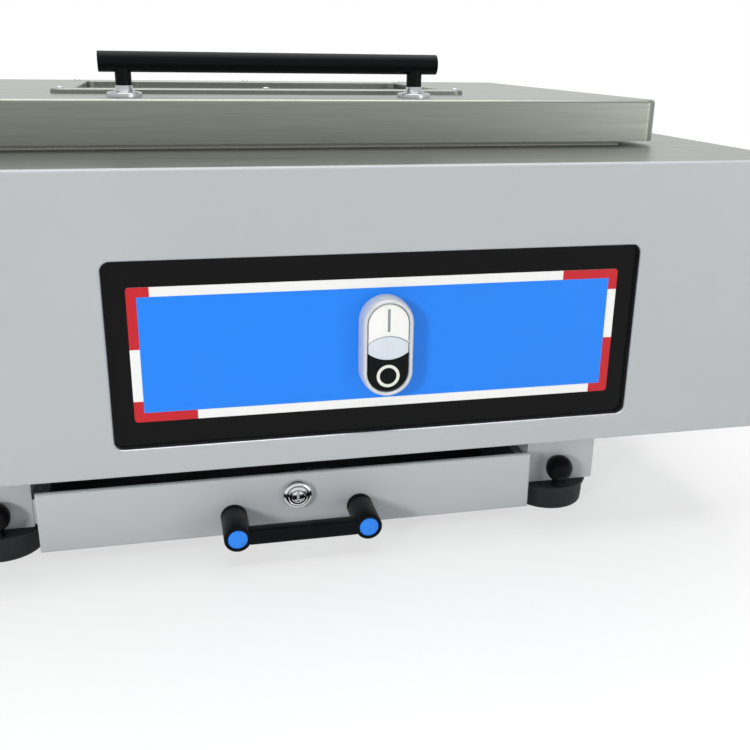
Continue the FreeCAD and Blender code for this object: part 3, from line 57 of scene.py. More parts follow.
# Colour and shader helpers
def linear(hex_colour, share=1.0):
    """A screen colour as the shader's linear RGBA, made lighter or darker by a share."""
    def channel(text):
        value = int(text, 16) / 255
        value = value / 12.92 if value <= 0.04045 else ((value + 0.055) / 1.055) ** 2.4
        return min(1.0, value * share)
    return (channel(hex_colour[1:3]), channel(hex_colour[3:5]), channel(hex_colour[5:7]), 1.0)


def per_metre(size_mm):
    """The texture scale at which one feature is size_mm across."""
    return 1 / (size_mm * MM)


def add(tree, kind, inputs=None, **settings):
    """One shader node, with its settings and its inputs' constants or links."""
    made = tree.nodes.new(kind)
    for name, value in settings.items():
        setattr(made, name, value)
    for name, value in (inputs or {}).items():
        if isinstance(value, bpy.types.NodeSocket):
            tree.links.new(value, made.inputs[name])
        else:
            made.inputs[name].default_value = value
    return made


def start_material(name, **constants):
    """A new material with its shader, and the Object coordinates that its patterns read."""
    material = bpy.data.materials.new(name)
    material.use_nodes = True
    tree = material.node_tree
    shader = tree.nodes["Principled BSDF"]
    for socket, value in constants.items():
        shader.inputs[socket.replace("_", " ")].default_value = value
    where = add(tree, "ShaderNodeTexCoord").outputs["Object"]
    return material, tree, shader, where


def join_up(tree, shader, tone=None, gloss=None, relief=None):
    """Links a material's colour, roughness and relief nodes to its shader."""
    if tone:
        tree.links.new(tone.outputs[MIX_RESULT], shader.inputs["Base Color"])
    if gloss:
        tree.links.new(gloss.outputs["Result"], shader.inputs["Roughness"])
    if relief:
        tree.links.new(relief.outputs["Normal"], shader.inputs["Normal"])


def enamelled_sheet(name, colour, roughness):
    """Stove-enamelled steel sheet: an even satin skin, faint orange peel and slow clouding."""
    material, tree, shader, where = start_material(name, Specular_IOR_Level=0.4)
    cloud = add(tree, "ShaderNodeTexNoise", {"Vector": where, "Scale": per_metre(90), "Detail": 3.0})
    tone = add(tree, "ShaderNodeMix", {"Factor": cloud.outputs["Fac"], MIX_A: linear(colour, 0.95),
                                       MIX_B: linear(colour, 1.05)}, data_type="RGBA")
    wear = add(tree, "ShaderNodeTexNoise", {"Vector": where, "Scale": per_metre(22)})
    gloss = add(tree, "ShaderNodeMapRange", {"Value": wear.outputs["Fac"], "To Min": roughness - 0.08,
                                             "To Max": roughness + 0.08})
    peel = add(tree, "ShaderNodeTexNoise", {"Vector": where, "Scale": per_metre(1.1), "Detail": 2.0})
    relief = add(tree, "ShaderNodeBump", {"Height": peel.outputs["Fac"], "Distance": 0.02 * MM,
                                          "Strength": 0.35})
    join_up(tree, shader, tone, gloss, relief)
    return material


def brushed_metal(name, colour, roughness, grain=(0.012, 1, 1)):
    """Brushed sheet metal: long scratches, drawn about 0.5 mm wide so that they show."""
    material, tree, shader, where = start_material(name, Metallic=1.0)
    along = add(tree, "ShaderNodeMapping", {"Vector": where, "Scale": grain}).outputs["Vector"]
    scratch = add(tree, "ShaderNodeTexNoise", {"Vector": along, "Scale": per_metre(0.5), "Detail": 6.0})
    tone = add(tree, "ShaderNodeMix", {"Factor": scratch.outputs["Fac"], MIX_A: linear(colour, 0.8),
                                       MIX_B: linear(colour, 1.2)}, data_type="RGBA")
    band = add(tree, "ShaderNodeTexNoise", {"Vector": along, "Scale": per_metre(1.4), "Detail": 4.0})
    gloss = add(tree, "ShaderNodeMapRange", {"Value": band.outputs["Fac"], "To Min": roughness - 0.12,
                                             "To Max": roughness + 0.12})
    relief = add(tree, "ShaderNodeBump", {"Height": scratch.outputs["Fac"], "Distance": 0.012 * MM,
                                          "Strength": 0.4})
    join_up(tree, shader, tone, gloss, relief)
    return material


def plated_metal(name, colour, roughness, metal=1.0):
    """Plated or cast bright metal: soft spangle of a few millimetres and small dull patches."""
    material, tree, shader, where = start_material(name, Metallic=metal)
    spangle = add(tree, "ShaderNodeTexNoise", {"Vector": where, "Scale": per_metre(3.5), "Detail": 3.0})
    tone = add(tree, "ShaderNodeMix", {"Factor": spangle.outputs["Fac"], MIX_A: linear(colour, 0.88),
                                       MIX_B: linear(colour, 1.1)}, data_type="RGBA")
    dull = add(tree, "ShaderNodeTexNoise", {"Vector": where, "Scale": per_metre(1.2)})
    gloss = add(tree, "ShaderNodeMapRange", {"Value": dull.outputs["Fac"], "To Min": roughness * 0.75,
                                             "To Max": roughness * 1.25})
    pits = add(tree, "ShaderNodeTexNoise", {"Vector": where, "Scale": per_metre(0.4)})
    relief = add(tree, "ShaderNodeBump", {"Height": pits.outputs["Fac"], "Distance": 0.006 * MM,
                                          "Strength": 0.3})
    join_up(tree, shader, tone, gloss, relief)
    return material


def moulded_plastic(name, colour, roughness, grain_mm, strength, shine=0.45):
    """Injection-moulded plastic: the tool's fine grain and a slightly uneven gloss."""
    material, tree, shader, where = start_material(name, Specular_IOR_Level=shine)
    flow = add(tree, "ShaderNodeTexNoise", {"Vector": where, "Scale": per_metre(14), "Detail": 3.0})
    tone = add(tree, "ShaderNodeMix", {"Factor": flow.outputs["Fac"], MIX_A: linear(colour, 0.94),
                                       MIX_B: linear(colour, 1.06)}, data_type="RGBA")
    wear = add(tree, "ShaderNodeTexNoise", {"Vector": where, "Scale": per_metre(3)})
    gloss = add(tree, "ShaderNodeMapRange", {"Value": wear.outputs["Fac"], "To Min": roughness - 0.06,
                                             "To Max": roughness + 0.06})
    grain = add(tree, "ShaderNodeTexNoise", {"Vector": where, "Scale": per_metre(grain_mm), "Detail": 2.0})
    relief = add(tree, "ShaderNodeBump", {"Height": grain.outputs["Fac"], "Distance": 0.015 * MM,
                                          "Strength": strength})
    join_up(tree, shader, tone, gloss, relief)
    return material


def polished_acrylic(name, colour):
    """Polished black acrylic: deep and mirror-like, with faint wiping streaks in its gloss."""
    material, tree, shader, where = start_material(name, Specular_IOR_Level=0.13)
    along = add(tree, "ShaderNodeMapping", {"Vector": where, "Scale": (0.35, 1, 1.6)}).outputs["Vector"]
    streak = add(tree, "ShaderNodeTexNoise", {"Vector": along, "Scale": per_metre(24), "Detail": 5.0})
    tone = add(tree, "ShaderNodeMix", {"Factor": streak.outputs["Fac"], MIX_A: linear(colour, 0.7),
                                       MIX_B: linear(colour, 1.3)}, data_type="RGBA")
    gloss = add(tree, "ShaderNodeMapRange", {"Value": streak.outputs["Fac"], "To Min": 0.02, "To Max": 0.08})
    join_up(tree, shader, tone, gloss)
    return material


def screen_print(name, colour, roughness=0.36):
    """Screen-printed polyester film: even ink with a fine surface tooth."""
    material, tree, shader, where = start_material(name, Specular_IOR_Level=0.35)
    lay = add(tree, "ShaderNodeTexNoise", {"Vector": where, "Scale": per_metre(60), "Detail": 2.0})
    tone = add(tree, "ShaderNodeMix", {"Factor": lay.outputs["Fac"], MIX_A: linear(colour, 0.96),
                                       MIX_B: linear(colour, 1.04)}, data_type="RGBA")
    film = add(tree, "ShaderNodeTexNoise", {"Vector": where, "Scale": per_metre(2)})
    gloss = add(tree, "ShaderNodeMapRange", {"Value": film.outputs["Fac"], "To Min": roughness - 0.05,
                                             "To Max": roughness + 0.05})
    tooth = add(tree, "ShaderNodeTexNoise", {"Vector": where, "Scale": per_metre(0.3), "Detail": 1.0})
    relief = add(tree, "ShaderNodeBump", {"Height": tooth.outputs["Fac"], "Distance": 0.004 * MM,
                                          "Strength": 0.4})
    join_up(tree, shader, tone, gloss, relief)
    return material


def moulded_rubber(name, colour, pore_mm):
    """Moulded rubber or foam: dull, with pores and pale scuffs."""
    material, tree, shader, where = start_material(name, Specular_IOR_Level=0.3)
    scuff = add(tree, "ShaderNodeTexNoise", {"Vector": where, "Scale": per_metre(7), "Detail": 5.0})
    tone = add(tree, "ShaderNodeMix", {"Factor": scuff.outputs["Fac"], MIX_A: linear(colour, 0.8),
                                       MIX_B: linear(colour, 1.35)}, data_type="RGBA")
    gloss = add(tree, "ShaderNodeMapRange", {"Value": scuff.outputs["Fac"], "To Min": 0.5, "To Max": 0.8})
    pores = add(tree, "ShaderNodeTexNoise", {"Vector": where, "Scale": per_metre(pore_mm), "Detail": 4.0})
    relief = add(tree, "ShaderNodeBump", {"Height": pores.outputs["Fac"], "Distance": 0.05 * MM,
                                          "Strength": 0.5})
    join_up(tree, shader, tone, gloss, relief)
    return material


def ceramic_fibre(name, colour):
    """Ceramic-fibre blanket and rope: matt, with matted threads about 1.8 mm across."""
    material, tree, shader, where = start_material(name, Specular_IOR_Level=0.15, Roughness=0.95)
    along = add(tree, "ShaderNodeMapping", {"Vector": where, "Scale": (1, 0.35, 1)}).outputs["Vector"]
    thread = add(tree, "ShaderNodeTexNoise", {"Vector": along, "Scale": per_metre(1.8), "Detail": 8.0})
    tone = add(tree, "ShaderNodeMix", {"Factor": thread.outputs["Fac"], MIX_A: linear(colour, 0.78),
                                       MIX_B: linear(colour, 1.08)}, data_type="RGBA")
    relief = add(tree, "ShaderNodeBump", {"Height": thread.outputs["Fac"], "Distance": 0.4 * MM,
                                          "Strength": 0.6})
    join_up(tree, shader, tone, None, relief)
    return material


def clear_glass(name, colour, roughness):
    """Drawn glass or quartz: clear, faintly tinted and lightly smeared."""
    material, tree, shader, where = start_material(name, Transmission_Weight=0.92, IOR=1.47)
    smear = add(tree, "ShaderNodeTexNoise", {"Vector": where, "Scale": per_metre(30)})
    tone = add(tree, "ShaderNodeMix", {"Factor": smear.outputs["Fac"], MIX_A: linear(colour, 0.97),
                                       MIX_B: linear(colour, 1.03)}, data_type="RGBA")
    gloss = add(tree, "ShaderNodeMapRange", {"Value": smear.outputs["Fac"], "To Min": roughness - 0.02,
                                             "To Max": roughness + 0.06})
    join_up(tree, shader, tone, gloss)
    return material


def milky_polycarbonate(name, colour):
    """Milky polycarbonate lens: translucent, with a smooth glossy skin."""
    material, tree, shader, where = start_material(name, Subsurface_Weight=0.15, Roughness=0.14)
    shader.inputs["Subsurface Radius"].default_value = (2 * MM, 2 * MM, 2 * MM)
    cloud = add(tree, "ShaderNodeTexNoise", {"Vector": where, "Scale": per_metre(6)})
    tone = add(tree, "ShaderNodeMix", {"Factor": cloud.outputs["Fac"], MIX_A: linear(colour, 0.95),
                                       MIX_B: linear(colour, 1.04)}, data_type="RGBA")
    join_up(tree, shader, tone)
    return material


MATERIALS = {
    "panel_grey": enamelled_sheet("grey_panel_enamel", "#B6BABC", 0.42),
    "casing_grey": enamelled_sheet("grey_casing_enamel", "#C3C7C9", 0.46),
    # Painted shade: the drawer box is painted near black so that the gap between the front panel and the
    # drawer shows dark.
    "frame_black": enamelled_sheet("painted_shade_drawer_black", "#26282A", 0.5),
    "motor_paint": enamelled_sheet("black_motor_enamel", "#26282A", 0.42),
    "stainless": brushed_metal("brushed_stainless_steel", "#83867F", 0.34),
    "supply_metal": brushed_metal("brushed_supply_aluminium", "#AEB1B3", 0.4, (1, 0.02, 1)),
    "zinc_steel": plated_metal("zinc_plated_steel", "#B4B7B9", 0.3),
    "lock_chrome": plated_metal("nickel_plated_zinc", "#D8DBDD", 0.1),
    "bezel_silver": plated_metal("silver_lacquered_plastic", "#D3D6D9", 0.4, 0.25),
    "fan_metal": plated_metal("pressed_fan_aluminium", "#BCC0C2", 0.35),
    "gloss_black": polished_acrylic("polished_black_acrylic", "#070708"),
    "label_white": screen_print("white_print", "#F4F4F1"),
    "label_blue": screen_print("blue_print", "#1884F6"),
    "label_red": screen_print("red_print", "#C61723"),
    "sign_grey": screen_print("grey_print", "#8E9296"),
    "sign_white": screen_print("ivory_print", "#E9E9DE"),
    "white_plastic": moulded_plastic("white_polycarbonate", "#F6F6F2", 0.24, 0.5, 0.15),
    "black_button": moulded_plastic("glossy_black_polycarbonate", "#0B0E0F", 0.22, 0.5, 0.15, 0.1),
    "black_plastic": moulded_plastic("black_polyamide", "#0A0D0E", 0.34, 0.35, 0.5, 0.07),
    "blue_plastic": moulded_plastic("blue_polyamide", "#2088F8", 0.3, 0.5, 0.2),
    "board_green": moulded_plastic("green_solder_mask", "#155A32", 0.3, 0.8, 0.3),
    "heater_ceramic": moulded_plastic("fired_steatite", "#E2DCCB", 0.6, 0.8, 0.6),
    "lens_plastic": milky_polycarbonate("milky_polycarbonate", "#D8DFE7"),
    "foot_rubber": moulded_rubber("black_foot_rubber", "#1D2122", 0.7),
    # Painted shade: the near-black foam mat lies in the drawer so that the gap above it shows dark.
    "mat_foam": moulded_rubber("painted_shade_black_foam", "#0B0C0D", 1.5),
    "fibre": ceramic_fibre("ceramic_fibre", "#E6E2D8"),
    "quartz": clear_glass("fused_quartz", "#F2F4F5", 0.1),
    "sight_pane": clear_glass("borosilicate_glass", "#CFD8D6", 0.04),
}
slot_of = {row["node"]: row["material_slot"] for row in frame["record"]["subparts"]}
for name, thing in nodes.items():
    thing.data.materials.clear()
    thing.data.materials.append(MATERIALS[slot_of[name]])


# Modelling helpers
def deselect():
    """Leaves nothing selected."""
    bpy.ops.object.select_all(action="DESELECT")


def take_up(thing):
    """Makes one object the only selected and the active one."""
    deselect()
    thing.select_set(True)
    bpy.context.view_layer.objects.active = thing


def settle(thing):
    """Puts an object's place, turn and size into its mesh."""
    take_up(thing)
    bpy.ops.object.transform_apply(location=True, rotation=True, scale=True)
    return thing


def pick(thing, kind, test):
    """Enters edit mode with the vertices, edges or faces selected that pass the test."""
    take_up(thing)
    bpy.ops.object.mode_set(mode="EDIT")
    bpy.ops.mesh.select_mode(type=kind)
    bpy.ops.mesh.select_all(action="DESELECT")
    bpy.ops.object.mode_set(mode="OBJECT")
    mesh = thing.data
    if kind == "VERT":
        for vertex in mesh.vertices:
            vertex.select = test(vertex.co)
    if kind == "EDGE":
        for edge in mesh.edges:
            first, second = (mesh.vertices[index].co for index in edge.vertices)
            edge.select = test(first) and test(second)
    if kind == "FACE":
        for face in mesh.polygons:
            face.select = test(face.center, face.normal)
    bpy.ops.object.mode_set(mode="EDIT")


def leave():
    """Closes edit mode with merged seams and outward faces."""
    bpy.ops.mesh.select_all(action="SELECT")
    bpy.ops.mesh.remove_doubles(threshold=NEAR)
    bpy.ops.mesh.normals_make_consistent(inside=False)
    bpy.ops.object.mode_set(mode="OBJECT")


def facing(x, y, z, direction):
    """A matrix at a point in millimetres whose Z axis points along the direction."""
    turn = Vector(direction).to_track_quat("Z", "Y").to_matrix().to_4x4()
    return Matrix.Translation((x * MM, y * MM, z * MM)) @ turn


def arc(radius, start, end, steps, centre_r, centre_h):
    """Points of a rounded profile edge, angles in degrees from the radius direction."""
    points = []
    for step in range(steps + 1):
        angle = math.radians(start + (end - start) * step / steps)
        points.append((centre_r + radius * math.cos(angle), centre_h + radius * math.sin(angle)))
    return points


def turned(profile, steps=48):
    """A profile of (radius, height) points in millimetres, extruded from one vertex and spun about Z."""
    deselect()
    bpy.ops.mesh.primitive_plane_add(size=MM)
    thing = bpy.context.object
    bpy.ops.object.mode_set(mode="EDIT")
    bpy.ops.mesh.select_mode(type="VERT")
    bpy.ops.mesh.select_all(action="SELECT")
    bpy.ops.mesh.merge(type="CENTER")
    radius, height = profile[0]
    bpy.ops.transform.translate(value=(radius * MM, 0, height * MM))
    for (r, h), (next_r, next_h) in zip(profile, profile[1:]):
        step = ((next_r - r) * MM, 0, (next_h - h) * MM)
        bpy.ops.mesh.extrude_region_move(TRANSFORM_OT_translate={"value": step})
    bpy.ops.mesh.select_all(action="SELECT")
    bpy.ops.mesh.spin(steps=steps, angle=FULL_TURN, center=(0, 0, 0), axis=(0, 0, 1))
    leave()
    return thing


def block(low, high, radius, segments=3):
    """A cube stretched between two corners in millimetres, with all its edges bevelled."""
    deselect()
    middle = [(a + b) / 2 * MM for a, b in zip(low, high)]
    bpy.ops.mesh.primitive_cube_add(size=1, location=middle)
    thing = bpy.context.object
    thing.scale = [(b - a) * MM for a, b in zip(low, high)]
    settle(thing)
    pick(thing, "EDGE", lambda point: True)
    bpy.ops.mesh.bevel(offset=radius * MM, segments=segments, affect="EDGES")
    leave()
    return thing


def slot_face(centre, width, length, y):
    """A flat upright slot shape that faces the front: a circle whose halves are moved apart."""
    deselect()
    sides = 72
    bpy.ops.mesh.primitive_circle_add(vertices=sides, radius=width / 2 / math.cos(math.pi / sides),
                                      fill_type="NGON", location=(centre.x, y, centre.z),
                                      rotation=(math.pi / 2, math.pi / sides, 0))
    thing = settle(bpy.context.object)
    for side in (-1, 1):
        pick(thing, "VERT", lambda point: side * (point.z - centre.z) > 0)
        bpy.ops.transform.translate(value=(0, 0, side * (length - width) / 2))
        bpy.ops.object.mode_set(mode="OBJECT")
    return thing


def whole(things):
    """Several objects joined into the first."""
    deselect()
    for thing in things:
        thing.select_set(True)
    bpy.context.view_layer.objects.active = things[0]
    bpy.ops.object.join()
    return settle(things[0])


def copied(model, places):
    """A piece modelled once at the origin, copied to each place and joined."""
    made = []
    for matrix in places:
        copy = model.copy()
        copy.data = model.data.copy()
        bpy.context.scene.collection.objects.link(copy)
        copy.matrix_world = matrix
        made.append(settle(copy))
    bpy.data.objects.remove(model)
    return whole(made)


def trim(thing, tool, operation):
    """Applies a Boolean modifier and removes its tool."""
    take_up(thing)
    modifier = thing.modifiers.new("trim", "BOOLEAN")
    modifier.operation = operation
    modifier.solver = "EXACT"
    modifier.object = tool
    bpy.ops.object.modifier_apply(modifier="trim")
    bpy.data.objects.remove(tool)


def keep(thing, name, body, slot, stands_for=(), smooth_angle=35):
    """Makes an object a piece of the oven."""
    settle(thing)
    thing.name = name
    thing.data.name = name
    thing.data.materials.clear()
    thing.data.materials.append(MATERIALS[slot])
    bpy.ops.object.shade_smooth_by_angle(angle=math.radians(smooth_angle))
    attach(thing, body)
    if stands_for:
        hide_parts(*stands_for)


def middle_of(node):
    """The middle of a node's box, in metres."""
    low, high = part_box(node)
    return (low + high) / 2


# Bare edge of the operator plate's cut-out
WINDOW_WIDTH = 302
WINDOW_HEIGHT = 104.5
WINDOW_CORNER = 5
EDGE_ROUND = 1.5
LINING_GAUGE = 0.08


def make_window_edge():
    """The milled edge as a thin lining over the inner half of the cut-out's rounding."""
    panel_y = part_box("front_panel")[0].y / MM
    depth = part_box("operator_plate")[0].y / MM - panel_y
    middle = middle_of("label_film")
    # Distance outside the cut-out, and depth behind the panel's face.
    section = [(EDGE_ROUND - r, EDGE_ROUND - d)
               for r, d in arc(EDGE_ROUND + LINING_GAUGE, 45, 0, 5, 0, 0)]
    outside, start = section[0]
    deselect()
    bpy.ops.mesh.primitive_plane_add(size=1, location=(middle.x, (panel_y + start) * MM, middle.z),
                                     rotation=(math.pi / 2, 0, 0))
    lining = bpy.context.object
    lining.scale = ((WINDOW_WIDTH + 2 * outside) * MM, (WINDOW_HEIGHT + 2 * outside) * MM, 1)
    settle(lining)
    pick(lining, "VERT", lambda point: True)
    bpy.ops.mesh.bevel(offset=(WINDOW_CORNER + outside) * MM, segments=10, affect="VERTICES")
    bpy.ops.object.mode_set(mode="OBJECT")
    pick(lining, "FACE", lambda centre, normal: True)
    for (out, level), (next_out, next_level) in zip(section, section[1:]):
        bpy.ops.mesh.inset(thickness=(out - next_out) * MM, depth=(level - next_level) * MM)
    bpy.ops.mesh.extrude_region_move(TRANSFORM_OT_translate={"value": (0, (depth - section[-1][1]) * MM, 0)})
    bpy.ops.mesh.delete(type="FACE")
    bpy.ops.object.mode_set(mode="OBJECT")
    wall = lining.modifiers.new("wall", "SOLIDIFY")
    wall.thickness = LINING_GAUGE / 2 * MM
    wall.offset = -1
    bpy.ops.object.modifier_apply(modifier="wall")
    keep(lining, "window_edge_lining", "oven_body", "zinc_steel", (), 40)


# Push-button
CAP_WIDTH = 23.6 * MM
CAP_LENGTH = 51.1 * MM
CAP_GAP = 0.3 * MM
CAP_EDGE = 0.7 * MM
CAP_DEPTH = 3.4 * MM
LENS_DEPTH = 7 * MM
LENS_ARC = 18.4 * MM
LENS_HALF_HEIGHT = 6.7 * MM
LENS_CROWN = 0.6 * MM
LENS_EDGE = 0.5 * MM
LENS_TOOL_LENGTH = 60 * MM
BEZEL_RIM = 3.2 * MM
BEZEL_STRAIGHT = 0.35
RING_STROKE = 1.75
SIGN_RAISE = 0.06
SIGN_SUNK = 0.3
SIGN_EDGE = 0.03


def make_bezel():
    """The bezel, a slot-shaped ring with a rounded rim."""
    low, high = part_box("button_bezel")
    depth = high.y - low.y
    ring = slot_face((low + high) / 2, high.x - low.x, high.z - low.z, high.y)
    pick(ring, "FACE", lambda centre, normal: True)
    bpy.ops.mesh.extrude_region_move(TRANSFORM_OT_translate={"value": (0, -BEZEL_STRAIGHT * depth, 0)})
    # Rounded rim: share of the rim's width against share of the bezel's rise.
    rim = [(0, BEZEL_STRAIGHT), (0.03, 0.55), (0.12, 0.76), (0.27, 0.91), (0.45, 0.985), (0.62, 1.0),
           (0.78, 0.985), (0.9, 0.93), (0.975, 0.83), (0.995, 0.7)]
    for (inward, rise), (next_inward, next_rise) in zip(rim, rim[1:]):
        bpy.ops.mesh.inset(thickness=(next_inward - inward) * BEZEL_RIM, depth=(next_rise - rise) * depth)
    bpy.ops.mesh.extrude_region_move(TRANSFORM_OT_translate={"value": (0, rim[-1][1] * depth, 0)})
    bpy.ops.mesh.delete(type="FACE")
    bpy.ops.object.mode_set(mode="OBJECT")
    pick(ring, "EDGE", lambda point: abs(point.y - high.y) < NEAR)
    bpy.ops.mesh.bridge_edge_loops()
    leave()
    keep(ring, "bezel_ring", "oven_body", "bezel_silver", ["button_bezel"], 60)


def cap_block(front_y, depth):
    """The slot-shaped block that the caps and the lens are trimmed from."""
    centre = middle_of("button_bezel")
    thing = slot_face(centre, CAP_WIDTH - 2 * CAP_GAP, CAP_LENGTH - 2 * CAP_GAP, front_y + depth)
    pick(thing, "FACE", lambda centre, normal: True)
    bpy.ops.mesh.extrude_region_move(TRANSFORM_OT_translate={"value": (0, -depth, 0)})
    bpy.ops.object.mode_set(mode="OBJECT")
    pick(thing, "EDGE", lambda point: abs(point.y - front_y - depth) < NEAR)
    bpy.ops.mesh.edge_face_add()
    leave()
    return thing


def lens_round(side, radius, y):
    """The round tool whose rim is the upper (1) or lower (-1) edge of the lens."""
    centre = middle_of("button_bezel")
    deselect()
    drop = LENS_ARC - LENS_HALF_HEIGHT
    bpy.ops.mesh.primitive_cylinder_add(vertices=192, radius=radius, depth=LENS_TOOL_LENGTH,
                                        location=(centre.x, y, centre.z - side * drop),
                                        rotation=(math.pi / 2, 0, 0))
    return settle(bpy.context.object)


def round_front(thing, front_y, edge, segments):
    """Rounds the edge round a front face."""
    pick(thing, "EDGE", lambda point: abs(point.y - front_y) < NEAR)
    bpy.ops.mesh.bevel(offset=edge, segments=segments, affect="EDGES")
    leave()


def make_caps():
    """The on and off caps, hollowed to fit round the lens."""
    for name, node, side, slot in (("on_cap", "on_button", 1, "white_plastic"),
                                   ("off_cap", "off_button", -1, "black_button")):
        front_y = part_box(node)[0].y
        cap = cap_block(front_y, CAP_DEPTH)
        trim(cap, lens_round(side, LENS_ARC + CAP_GAP, front_y), "DIFFERENCE")
        round_front(cap, front_y, CAP_EDGE, 4)
        keep(cap, name, node, slot, [node], 50)


def make_lens():
    """The lens between the caps, with a slight crown."""
    front_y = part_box("button_lens")[0].y
    lens = cap_block(front_y, LENS_DEPTH)
    for side in (-1, 1):
        trim(lens, lens_round(side, LENS_ARC, front_y), "INTERSECT")
    round_front(lens, front_y, LENS_EDGE, 3)
    pick(lens, "FACE", lambda centre, normal: normal.y < -0.99 and abs(centre.y - front_y) < NEAR)
    middle = middle_of("button_bezel")
    shares = [1, 0.9, 0.75, 0.55, 0.3]
    for share, after in zip(shares, shares[1:]):
        rise = LENS_CROWN * (share ** 2 - after ** 2)
        bpy.ops.mesh.extrude_region_move(TRANSFORM_OT_translate={"value": (0, -rise, 0)})
        bpy.ops.transform.resize(value=(after / share, 1, after / share),
                                 center_override=(middle.x, front_y, middle.z))
    leave()
    keep(lens, "lens_dome", "oven_body", "lens_plastic", ["button_lens"], 50)


def make_signs():
    """The bar on the on cap and the ring on the off cap, both slightly raised."""
    low, high = (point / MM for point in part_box("on_button_sign"))
    bar = block((low.x, low.y - SIGN_RAISE, low.z), (high.x, low.y + SIGN_SUNK, high.z), SIGN_EDGE, 1)
    keep(bar, "on_sign_bar", "on_button", "sign_grey", ["on_button_sign"])
    low, high = (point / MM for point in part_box("off_button_sign"))
    outer = (high.x - low.x) / 2
    inner = outer - RING_STROKE
    section = [(inner, -SIGN_SUNK), (inner, SIGN_RAISE), (outer, SIGN_RAISE), (outer, -SIGN_SUNK)]
    section.append(section[0])
    ring = turned(section, 64)
    ring.matrix_world = facing((low.x + high.x) / 2, low.y, (low.z + high.z) / 2, (0, -1, 0))
    keep(ring, "off_sign_ring", "off_button", "sign_white", ["off_button_sign"])


# Drawer handle with its caps
HANDLE_POST_X = 40
HANDLE_EDGE = 1.2
HANDLE_GROOVE = 0.25
HANDLE_BAR = 4.5
HANDLE_BAR_EDGE = 1.1
HANDLE_BAR_INSET = 6.8
HANDLE_BAR_SETBACK = 0.2
HANDLE_SOCKET = 6.1
HANDLE_SOCKET_DEPTH = 3
HANDLE_DISC = 6.05


def make_handle():
    """Two round posts with a bar between them, and a disc in the end of each post."""
    low, high = (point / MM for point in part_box("drawer_handle"))
    axis_z = (low.z + high.z) / 2
    radius = (high.z - low.z) / 2
    reach = high.y - low.y
    groove = radius - HANDLE_GROOVE
    profile = [(0, HANDLE_SOCKET_DEPTH), (HANDLE_SOCKET, HANDLE_SOCKET_DEPTH), (HANDLE_SOCKET, 0.6), (6.5, 0)]
    profile += arc(HANDLE_EDGE, -90, 0, 5, radius - HANDLE_EDGE, HANDLE_EDGE)
    profile += [(radius, reach - 5), (groove, reach - 4.6), (groove, reach - 4), (radius, reach - 3.6)]
    profile += [(radius, reach), (0, reach)]
    places = [facing(side * HANDLE_POST_X, low.y, axis_z, (0, 1, 0)) for side in (-1, 1)]
    posts = copied(turned(profile), places)
    end = HANDLE_POST_X - HANDLE_BAR_INSET
    bar_low = (-end, low.y + HANDLE_BAR_SETBACK, axis_z - HANDLE_BAR)
    bar_high = (end, low.y + 2 * HANDLE_BAR, axis_z + HANDLE_BAR)
    bar = block(bar_low, bar_high, HANDLE_BAR_EDGE)
    keep(whole([posts, bar]), "handle_bridge", "drawer", "black_plastic", ["drawer_handle"])
    disc = [(0, 0.01), (3, 0.06), (5, 0.24), (5.8, 0.48), (HANDLE_DISC, 0.86)]
    disc += [(HANDLE_DISC, HANDLE_SOCKET_DEPTH), (0, HANDLE_SOCKET_DEPTH)]
    keep(copied(turned(disc), places), "handle_cap_discs", "drawer", "blue_plastic", ["handle_caps"], 50)


# Drawer lock
KEY_SLOT_WIDTH = 1.6
KEY_SLOT_LENGTH = 8


def make_lock():
    """The collar round the lock, and the plug's face with its key slot."""
    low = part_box("lock_housing")[0] / MM
    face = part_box("lock_plug")[0].y / MM
    axis_z = middle_of("lock_plug").z / MM
    place = facing(0, low.y, axis_z, (0, -1, 0))
    collar = [(6.15, -0.6), (6.15, 0.12), (6.5, 0.3), (7.2, 0.36), (8.0, 0.16), (8.8, -0.5), (9.3, -1.4),
              (9.32, -4), (9.0, -4), (9.0, -1), (6.15, -0.6)]
    keep(copied(turned(collar, 64), [place]), "lock_collar", "drawer", "lock_chrome", (), 30)
    dome = [(0, -0.4), (5.95, -0.4), (5.95, 0.05), (5.6, 0.3), (4.4, 0.34), (4.1, 0.1), (3.7, 0.1),
            (3.4, 0.4), (2.2, 0.62), (0, 0.7)]
    plug = copied(turned(dome, 48), [facing(0, face, axis_z, (0, -1, 0))])
    half_width, half_length = KEY_SLOT_WIDTH / 2, KEY_SLOT_LENGTH / 2
    slot_low = (-half_width, face - 2, axis_z - half_length)
    slot_high = (half_width, face + 2, axis_z + half_length)
    slot = block(slot_low, slot_high, 0.2, 2)
    trim(plug, slot, "DIFFERENCE")
    keep(plug, "lock_plug_face", "lock_barrel", "lock_chrome", (), 30)


# Feet
FOOT_DIAMETER = 53
FOOT_HEIGHT = 17
KNOB_DIAMETER = 18
KNOB_HEIGHT = 29


def corners(node, size):
    """The four places of a node's round pieces, from its box and their diameter."""
    low, high = (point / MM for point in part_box(node))
    inset = size / 2
    return [(x, y) for x in (low.x + inset, high.x - inset) for y in (low.y + inset, high.y - inset)]


